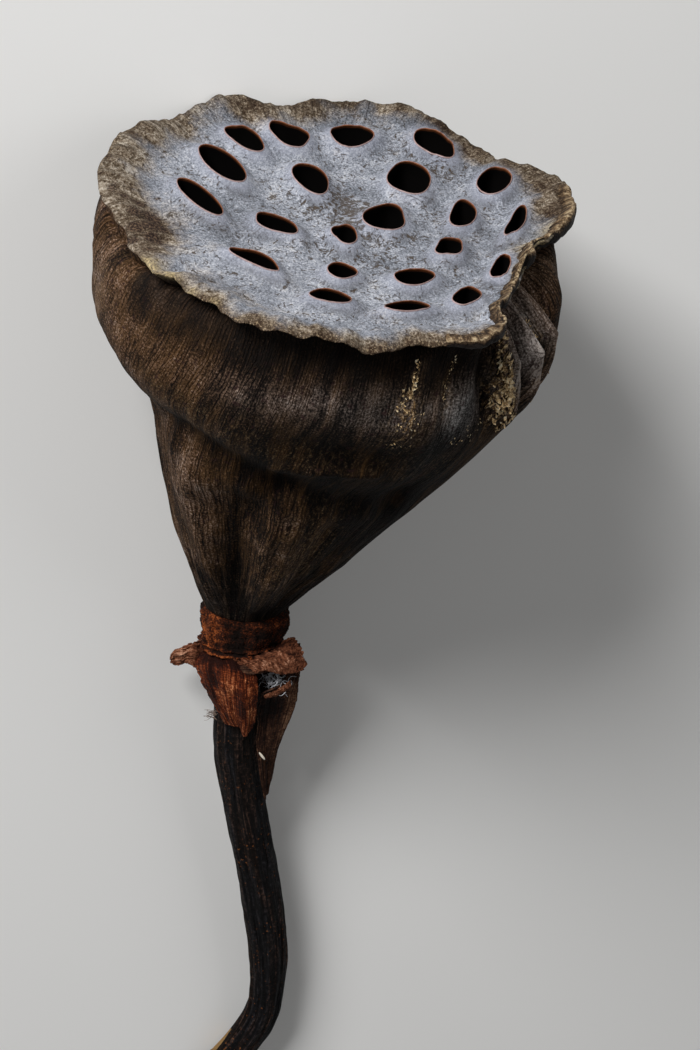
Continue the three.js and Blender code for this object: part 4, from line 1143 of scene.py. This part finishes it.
def netPoints(net, u, v):
    # points of a smooth sheet through a net of rows, for arrays of places 0 to 1
    net = np.array(net, float)
    rows = [[smoothCurve([[i / (len(row) - 1), point[axis]] for i, point in enumerate(row)], u)
             for axis in range(3)] for row in net]
    places = np.linspace(0, 1, len(rows))
    i = np.clip(np.searchsorted(places, v, side="right") - 1, 0, len(rows) - 2)
    rows = np.array(rows)
    slope = np.empty_like(rows)
    slope[1:-1] = (rows[2:] - rows[:-2]) / 2
    slope[0], slope[-1] = rows[1] - rows[0], rows[-1] - rows[-2]
    s = v * (len(rows) - 1) - i
    pick = np.arange(len(u))
    points = ((2 * s**3 - 3 * s**2 + 1) * rows[i, :, pick].T + (s**3 - 2 * s**2 + s) * slope[i, :, pick].T
              + (3 * s**2 - 2 * s**3) * rows[i + 1, :, pick].T + (s**3 - s**2) * slope[i + 1, :, pick].T)
    return points.T


def skirtNet():
    net = []
    for bearing, reach, drop in petals["skirt"]:
        row = []
        for part in (0, 0.5, 1):
            radius = petals["skirtInner"] + (reach - petals["skirtInner"]) * part
            x = collar["footX"] + radius * math.cos(math.radians(bearing))
            y = collar["footY"] + radius * math.sin(math.radians(bearing))
            below = (drop + 0.3) * part**1.6 - 0.3
            row.append([x, y, footLevel(x, y) - below])
        net.append(row)
    return net


def makePetal(name, net, shades, across, along, crinkle, ragged):
    deselect()
    bpy.ops.mesh.primitive_grid_add(x_subdivisions=across, y_subdivisions=along, size=1)
    petal = named(name)
    points = readPoints(petal)
    u, v = points[:, 0] + 0.5, points[:, 1] + 0.5
    edgeV = v + ragged * (0.05 * grain(u * 9, 0.5, v * 3) + 0.03 * grain(u * 30, 0.5, 3.5)) * easeIn(v, 0.7, 1)
    edgeU = u + ragged * (0.05 * grain(v * 9, 2.5, u * 2) + 0.03 * grain(v * 34, 2.5, 7.5)) * easeIn(
        np.abs(u - 0.5), 0.25, 0.5)
    clipU, clipV = np.clip(edgeU, 0, 1), np.clip(edgeV, 0, 1)
    place = netPoints(net, clipU, clipV)
    step = 0.01
    run = netPoints(net, np.clip(clipU + step, 0, 1), clipV) - netPoints(net, np.clip(clipU - step, 0, 1), clipV)
    rise = netPoints(net, clipU, np.clip(clipV + step, 0, 1)) - netPoints(net, clipU, np.clip(clipV - step, 0, 1))
    facing = np.cross(run, rise)
    facing /= np.maximum(np.linalg.norm(facing, axis=1), 1e-9)[:, None]
    folds = crinkle * (0.6 * grain(u * 7, v * 2, 0.3) + 0.4 * grain(u * 20, v * 4, 6.3)
                       + 0.3 * grain(u * 3, v * 16, 9.3) * easeIn(v, 0.7, 0.3)) * easeIn(v, 0, 0.12)
    writePoints(petal, place + facing * folds[:, None])
    setAttribute(petal, "sheet", np.stack([u, v, np.zeros(len(u))], axis=-1))
    shade = np.zeros(len(u))
    for middleU, middleV, wide, tall, amount in shades:
        shade += amount * np.exp(-(((u - middleU) / wide) ** 2) - ((v - middleV) / tall) ** 2)
    setAttribute(petal, "shade", shade)
    applyModifier(petal, "SOLIDIFY", thickness=petals["thickness"], offset=0)
    return petal


def petalMaterial(name, ribScale, stops):
    material, tree, shader = newMaterial(name, **{"Roughness": 0.7, "Specular IOR Level": 0.1})
    place = stretched(tree, addNode(tree, "TexCoord", output="Object"), 1000, 1000, 1000)
    sheet = attribute(tree, "sheet", "Vector")
    ribs = noiseAt(tree, stretched(tree, sheet, *ribScale), detail=3, roughness=0.6, distortion=0.3)
    wrinkles = noiseAt(tree, stretched(tree, sheet, 6, 60, 1), detail=3, roughness=0.6, distortion=0.6)
    mottled = noiseAt(tree, place, scale=0.6, detail=4, roughness=0.7)
    specks = noiseAt(tree, place, scale=2.4, detail=3, roughness=0.7)
    level = maths(tree, "MULTIPLY_ADD", ribs, 1.3, maths(tree, "MULTIPLY_ADD", mottled, 0.8, -1.05))
    level = maths(tree, "MULTIPLY_ADD", wrinkles, 0.5, maths(tree, "MULTIPLY_ADD", specks, 0.5, level))
    level = maths(tree, "SUBTRACT", level, attribute(tree, "shade"))
    tree.links.new(toned(tree, level, stops), shader.inputs["Base Color"])
    bumpy(tree, shader, maths(tree, "MULTIPLY_ADD", wrinkles, 0.5, ribs), 0.0009, 1.0)
    return material


# threads: white fluff between the petals and frayed fibres on the stem

fluff = {"count": 46, "middle": (5.2, -7, -119.2), "spread": (2.2, 1.3, 1.4), "size": (0.6, 1.4), "seed": 3,
         "lean": 180, "thread": [[0, 0, 0], [0.9, 0.5, 0.3], [1.4, -0.3, 0.9], [0.7, -0.8, 1.4], [0.1, 0, 1.7], [0.6, 0.7, 2.2]],
         "radius": 0.07}
fray = {"count": 22, "middle": (-6.7, -8, -131.4), "spread": (0.4, 0.6, 1.5), "size": (0.6, 1.3), "seed": 8,
        "lean": 35, "thread": [[0, 0, 0], [-0.8, 0.1, 0.2], [-1.6, -0.1, 0.1], [-2.3, 0.1, -0.3]],
        "radius": 0.06}


def scattered(i, seed):
    # a repeatable number between 0 and 1
    return math.sin(i * 12.9898 + seed * 78.233) * 43758.5453 % 1


def makeThread(name, path, radius):
    rows = 18
    knots = [[i / (len(path) - 1), point] for i, point in enumerate(path)]
    middles = np.stack([smoothCurve([[k, q[axis]] for k, q in knots], np.linspace(0, 1, rows))
                        for axis in range(3)], axis=-1)

    def around(i, share):
        def station(b):
            angle = np.radians(b)
            run = middles[min(i + 1, rows - 1)] - middles[max(i - 1, 0)]
            side = np.cross(run, (0.3, 0.2, 1))
            side /= np.linalg.norm(side)
            up = np.cross(run, side)
            up /= np.linalg.norm(up)
            reach = radius * share * (1 - 0.6 * i / rows)
            return middles[i] + reach * (np.cos(angle)[:, None] * side - np.sin(angle)[:, None] * up)
        return station

    stations = [around(0, 0)] + [around(i, 1) for i in range(rows)] + [around(rows - 1, 0)]
    return closedForm(name, 6, stations)


def makeThreads(name, tuft):
    first = makeThread(name, tuft["thread"], tuft["radius"])
    pieces = [first]
    for i in range(tuft["count"]):
        piece = first.copy()
        piece.data = first.data.copy()
        bpy.context.collection.objects.link(piece)
        turn = [math.radians((scattered(i, tuft["seed"] + j) * 2 - 1) * tuft["lean"]) for j in range(3)]
        small, large = tuft["size"]
        size = small + (large - small) * scattered(i, tuft["seed"] + 3)
        place = [middle + (scattered(i, tuft["seed"] + 4 + j) * 2 - 1) * reach
                 for j, (middle, reach) in enumerate(zip(tuft["middle"], tuft["spread"]))]
        piece.matrix_world = Matrix.Translation(place) @ Euler(turn).to_matrix().to_4x4() @ Matrix.Scale(size, 4)
        pieces.append(piece)
    first.location = tuft["middle"]
    makeActive(first)
    for piece in pieces:
        piece.select_set(True)
    bpy.ops.object.transform_apply(location=True, rotation=True, scale=True)
    bpy.ops.object.join()
    return first


def makeHusk():
    # a small pale husk that sticks to the long petal
    deselect()
    bpy.ops.mesh.primitive_uv_sphere_add(segments=16, ring_count=10, radius=1, location=(5.4, -10.6, -138.9),
                                         rotation=(0, math.radians(138), 0), scale=(0.3, 0.25, 1.25))
    husk = named("pale_husk")
    bpy.ops.object.transform_apply(location=True, rotation=True, scale=True)
    return husk


def threadMaterial(name, darker, lighter):
    material, tree, shader = newMaterial(name, **{"Roughness": 0.7, "Specular IOR Level": 0.2})
    place = stretched(tree, addNode(tree, "TexCoord", output="Object"), 1000, 1000, 1000)
    mottled = noiseAt(tree, place, scale=0.9, detail=3)
    tree.links.new(toned(tree, mottled, [(0.35, darker), (0.65, lighter)]), shader.inputs["Base Color"])
    return material


# the torn, curled edge of the rim on the right

# bearing, how far the edge rises, reaches out and hangs down
tornEdge = {
    "rows": 300,
    "across": 18,
    "shape": [[302, 0, 0.2, 0.8], [308, 0.5, 0.7, 1.2], [313, 1.4, 0.8, 1.4], [317, 2.6, -0.8, 1.2],
              [320.5, 0.6, -0.6, 0.8], [325, 1, 0.5, 1], [330, 1.8, 0, 0.9], [334, 1, 0.6, 0.9],
              [338, 1.5, 0.3, 0.9], [342.5, 0.4, -1, 0.8], [346.5, 3, -0.6, 0.9], [351, 1.8, 0.7, 1.2],
              [356, 2.5, 0.2, 1.2], [361, 0.8, 0.2, 1.4], [365, 0.3, -0.3, 1.8], [370, 0.6, 1, 2.8],
              [376, 1.2, 1.1, 3.4], [382, 0.7, 0.9, 2.8], [390, 0, 0.1, 1]],
}


def makeTornEdge():
    deselect()
    bpy.ops.mesh.primitive_grid_add(x_subdivisions=tornEdge["across"], y_subdivisions=tornEdge["rows"], size=1)
    edge = named("torn_edge")
    points = readPoints(edge)
    u, v = points[:, 0] + 0.5, points[:, 1] + 0.5
    first, last = tornEdge["shape"][0][0], tornEdge["shape"][-1][0]
    bearing = first + (last - first) * v
    rise, reach, hang = (smoothCurve([[row[0], row[i]] for row in tornEdge["shape"]], bearing) for i in (1, 2, 3))
    rise = rise * (1 + 0.35 * grain(bearing / 4, 0.5, 2.5) + 0.25 * grain(bearing / 1.4, 0.5, 5.5))
    reach = reach + 0.5 * grain(bearing / 3, 0.5, 8.5) + 0.25 * grain(bearing / 1.1, 2.5, 1.5)
    part = 0.925 + 0.075 * np.clip(u / 0.35, 0, 1)
    out = reach * easeIn(u, 0.2, 0.7) - 0.7 * reach * easeIn(u, 0.75, 1)
    lift = rise * easeIn(u, 0.1, 0.42) - (rise + hang) * easeIn(u, 0.5, 1) - 0.5 * (1 - easeIn(u, 0, 0.3))
    place = discPoint(bearing % 360, part, out)
    place[:, 2] += lift + 0.15 * grain(bearing / 1.5, u * 5, 3.5)
    writePoints(edge, place)
    setAttribute(edge, "sheet", np.stack([u, bearing / 10, np.zeros(len(u))], axis=-1))
    # painted highlight along the crest and painted shade on the part that hangs below it
    setAttribute(edge, "crestHighlightAndShade", np.exp(-(((u - 0.42) / 0.16) ** 2)) - 1.2 * easeIn(u, 0.55, 0.8))
    applyModifier(edge, "SOLIDIFY", thickness=0.4, offset=0)
    return edge


def tornMaterial():
    material, tree, shader = newMaterial("torn rim skin", **{"Roughness": 0.6, "Specular IOR Level": 0.2})
    place = stretched(tree, addNode(tree, "TexCoord", output="Object"), 1000, 1000, 1000)
    sheet = attribute(tree, "sheet", "Vector")
    streaks = noiseAt(tree, stretched(tree, sheet, 5, 14, 1), detail=4, roughness=0.7, distortion=0.7)
    mottled = noiseAt(tree, place, scale=0.8, detail=4, roughness=0.75)
    level = maths(tree, "MULTIPLY_ADD", streaks, 1.6, maths(tree, "MULTIPLY_ADD", mottled, 1.2, -1.05))
    # painted highlight on the crest, painted shade under it
    level = maths(tree, "MULTIPLY_ADD", attribute(tree, "crestHighlightAndShade"), 0.34, level)
    colour = toned(tree, level, [(0.15, (0.01, 0.005, 0.003)), (0.42, (0.07, 0.04, 0.02)),
                                 (0.66, (0.3, 0.2, 0.11)), (0.95, (0.8, 0.64, 0.4))])
    tree.links.new(colour, shader.inputs["Base Color"])
    bumpy(tree, shader, level, 0.0012, 1.0)
    return material


# the golden flakes that peel off the wall

# each group: bearing, height, half width and half height in mm, how many, the size
flakeGroups = [
    [325, 96, 1, 5, 44, 0.55], [326.5, 89, 1.3, 5, 60, 0.6], [329, 84, 1.4, 4, 40, 0.55], [332, 79, 0.8, 3, 20, 0.4],
    [298.5, 96, 0.4, 4, 26, 0.3], [297, 89, 0.9, 5, 26, 0.22], [309.5, 94, 0.5, 5, 22, 0.24],
    [299, 84, 3, 6, 24, 0.2], [344.5, 88, 0.5, 9, 40, 0.32], [319, 79, 4, 3, 20, 0.2], [353, 88, 2, 9, 16, 0.26],
]


def makeFlake():
    deselect()
    bpy.ops.mesh.primitive_ico_sphere_add(subdivisions=2, radius=1)
    flake = named("golden_flakes")
    points = readPoints(flake)
    crumple = 1 + 0.5 * grain(points[:, 0] * 1.6, points[:, 1] * 1.6, points[:, 2] * 1.6)
    points = points * crumple[:, None] * (0.6, 1.5, 0.2)
    points[:, 2] += 0.4 * points[:, 0] ** 2 - 0.35 * points[:, 1] * points[:, 0]
    writePoints(flake, points)
    return flake


def makeFlakes():
    first = makeFlake()
    pieces = []
    for group, (place, level, wide, tall, count, size) in enumerate(flakeGroups):
        for i in range(count):
            height = level + tall * (scattered(i, group) * 2 - 1)
            turn = wide * (scattered(i, group + 20) * 2 - 1) / 45
            bearing = np.array([place + math.degrees(turn)])
            spot = wallPoint(bearing, height, wallRadiusAt(bearing, height))[0]
            if height > wall["top"]:
                spot = shoulderPoint(bearing, 90 * (height - wall["top"]) / 12)[0]
            piece = first.copy()
            piece.data = first.data.copy()
            bpy.context.collection.objects.link(piece)
            lean = Euler(((scattered(i, group + 40) - 0.5) * 1.3, (scattered(i, group + 60) - 0.5) * 1.3,
                          (scattered(i, group + 80) - 0.5) * 2)).to_matrix().to_4x4()
            facing = Vector((math.cos(math.radians(bearing[0])), math.sin(math.radians(bearing[0])), 0.1))
            stand = facing.to_track_quat("Z", "Y").to_matrix().to_4x4()
            scale = Matrix.Scale(size * (0.6 + 0.8 * scattered(i, group + 100)), 4)
            piece.matrix_world = Matrix.Translation(Vector(spot)) @ stand @ lean @ scale
            pieces.append(piece)
    bpy.data.objects.remove(first)
    makeActive(pieces[0])
    for piece in pieces:
        piece.select_set(True)
    bpy.ops.object.transform_apply(location=True, rotation=True, scale=True)
    bpy.ops.object.join()
    pieces[0].name = "golden_flakes"
    return pieces[0]


def flakeMaterial():
    material, tree, shader = newMaterial("golden flake", **{"Roughness": 0.45, "Specular IOR Level": 0.5})
    place = stretched(tree, addNode(tree, "TexCoord", output="Object"), 1000, 1000, 1000)
    mottled = noiseAt(tree, place, scale=0.7, detail=5, roughness=0.75)
    colour = toned(tree, mottled, [(0.38, (0.035, 0.018, 0.006)), (0.45, (0.3, 0.18, 0.07)),
                                   (0.53, (0.92, 0.66, 0.34)), (0.62, (1, 0.9, 0.66))])
    tree.links.new(colour, shader.inputs["Base Color"])
    bumpy(tree, shader, mottled, 0.0008, 1.0)
    return material


# building

pod = makeSeedPod()
markSeedPod(pod)
layDown(pod, [podMaterial(), holeMaterial()], "pod_skin", "seed_pod")
layDown(makeLips(), [lipMaterial()], "rusty_skin")
layDown(markCollar(makeCollar()), [collarMaterial()], "rusty_skin", "collar")
layDown(makeStem(), [stemMaterial()], "stem_skin", "stem")

orangeBrown = petalMaterial("orange petal skin", (34, 3, 1), [
    (0.2, (0.013, 0.002, 0.0006)), (0.42, (0.07, 0.012, 0.003)), (0.62, (0.23, 0.05, 0.014)), (0.88, (0.75, 0.3, 0.13))])
tanBrown = petalMaterial("tan petal skin", (20, 6, 1), [
    (0.15, (0.02, 0.005, 0.002)), (0.42, (0.1, 0.031, 0.014)), (0.66, (0.24, 0.09, 0.045)), (0.92, (0.56, 0.3, 0.19))])
paperBrown = petalMaterial("papery petal skin", (26, 3, 1), [
    (0.15, (0.005, 0.0025, 0.002)), (0.42, (0.028, 0.012, 0.008)), (0.66, (0.09, 0.04, 0.022)), (0.92, (0.3, 0.17, 0.1))])
frontNet = [collarFoot(petals["frontRoot"], 0.4)] + petals["front"]
leftNet = [collarFoot(petals["leftRoot"], 1)] + petals["left"]
flapNet = [collarFoot(petals["flapRoot"], 0.6)] + petals["flap"]
layDown(makePetal("front_petal", frontNet, petals["frontShade"], 100, 110, 0.6, 1), [orangeBrown],
        "petal_skin", "petal_front")
layDown(makePetal("left_petal", leftNet, petals["leftShade"], 50, 60, 0.9, 1.6), [tanBrown],
        "petal_skin", "petal_left")
layDown(makePetal("long_petal", petals["long"], petals["longShade"], 50, 130, 0.5, 1), [paperBrown],
        "papery_skin", "petal_long")
layDown(makePetal("petal_skirt_skin", skirtNet(), petals["skirtShade"], 30, 220, 0.7, 0.8), [paperBrown],
        "papery_skin", "petal_skirt")
layDown(makePetal("skirt_flap", flapNet, petals["flapShade"], 110, 60, 0.8, 2), [tanBrown], "papery_skin")
# a dark papery sheet behind the fluff, standing in for the shade there
layDown(makePetal("back_sheet", petals["back"], petals["longShade"], 40, 50, 0.8, 1.5), [paperBrown], "papery_skin")
layDown(makePetal("petal_fold", petals["fold"], [], 50, 16, 0.2, 0.8), [tanBrown], "papery_skin")
layDown(makeThreads("white_fluff", fluff), [threadMaterial("white fluff", (0.5, 0.51, 0.54), (0.85, 0.86, 0.9))],
        "papery_skin")
layDown(makeThreads("frayed_fibres", fray), [threadMaterial("frayed fibre", (0.05, 0.035, 0.028), (0.26, 0.19, 0.15))],
        "stem_skin")
layDown(makeHusk(), [threadMaterial("pale husk", (0.5, 0.42, 0.32), (0.8, 0.74, 0.64))], "papery_skin")
layDown(makeTornEdge(), [tornMaterial()], "pod_skin")
layDown(makeFlakes(), [flakeMaterial()], "pod_skin")

# floor, lights and camera

studio = {
    "floorSize": 6,
    "floorColour": (0.85, 0.845, 0.83),
    "aim": (0, 0.05, 0.04),
    "keyPower": 21, "keySize": 0.45, "keyDistance": 1.3, "keyFrom": (-0.60, 0.68, 0.42),
    "fillPower": 3.2, "fillSize": 1.2, "fillDistance": 1.5, "fillFrom": (0.72, 0.3, 0.62),
    "sky": 0.13,
}
view = {
    "tilt": 54.5, "lean": 11.5, "distance": 602.63, "pixels": 2916.7,
    "middleX": 350, "middleY": 525, "discX": 341, "discY": 213, "lens": 100, "sensor": 36,
}


def cameraPlace():
    tilt, lean = math.radians(view["tilt"]), math.radians(view["lean"])
    outOfDisc = Vector((math.sin(tilt) * math.sin(lean), math.sin(tilt) * math.cos(lean), math.cos(tilt)))
    across = Vector((math.cos(lean), -math.sin(lean), 0))
    away = outOfDisc.cross(across)
    disc = Vector(((view["discX"] - view["middleX"]) / view["pixels"],
                   (view["middleY"] - view["discY"]) / view["pixels"], -1)) * view["distance"]
    fromPod = Matrix((across, away, outOfDisc)).transposed()
    eye = -(fromPod.transposed() @ disc)
    turn = (podPlace.to_3x3().normalized() @ fromPod.transposed()).to_4x4()
    return Matrix.Translation(podPlace @ eye) @ turn


cameraData = bpy.data.cameras.new("camera")
cameraData.lens = view["lens"]
cameraData.sensor_width = view["sensor"]
camera = bpy.data.objects.new("camera", cameraData)
bpy.context.scene.collection.objects.link(camera)
camera.matrix_world = cameraPlace()
bpy.context.scene.camera = camera

deselect()
bpy.ops.mesh.primitive_plane_add(size=studio["floorSize"])
floor = named("floor")
floorMaterial, tree, shader = newMaterial("pale floor", **{"Roughness": 0.9, "Specular IOR Level": 0.2})
shader.inputs["Base Color"].default_value = (*studio["floorColour"], 1)
floor.data.materials.append(floorMaterial)


def addLight(name, power, size, distance, comesFrom):
    direction = Vector(comesFrom).normalized()
    data = bpy.data.lights.new(name, "AREA")
    data.energy = power
    data.size = size
    light = bpy.data.objects.new(name, data)
    bpy.context.scene.collection.objects.link(light)
    light.location = Vector(studio["aim"]) + direction * distance
    light.rotation_euler = direction.to_track_quat("Z", "Y").to_euler()


addLight("keyLight", studio["keyPower"], studio["keySize"], studio["keyDistance"], studio["keyFrom"])
addLight("fillLight", studio["fillPower"], studio["fillSize"], studio["fillDistance"], studio["fillFrom"])
world = bpy.data.worlds.new("studio")
bpy.context.scene.world = world
bpy.context.scene.view_settings.view_transform = "Standard"
world.use_nodes = True
world.node_tree.nodes["Background"].inputs["Color"].default_value = (1, 1, 1, 1)
world.node_tree.nodes["Background"].inputs["Strength"].default_value = studio["sky"]
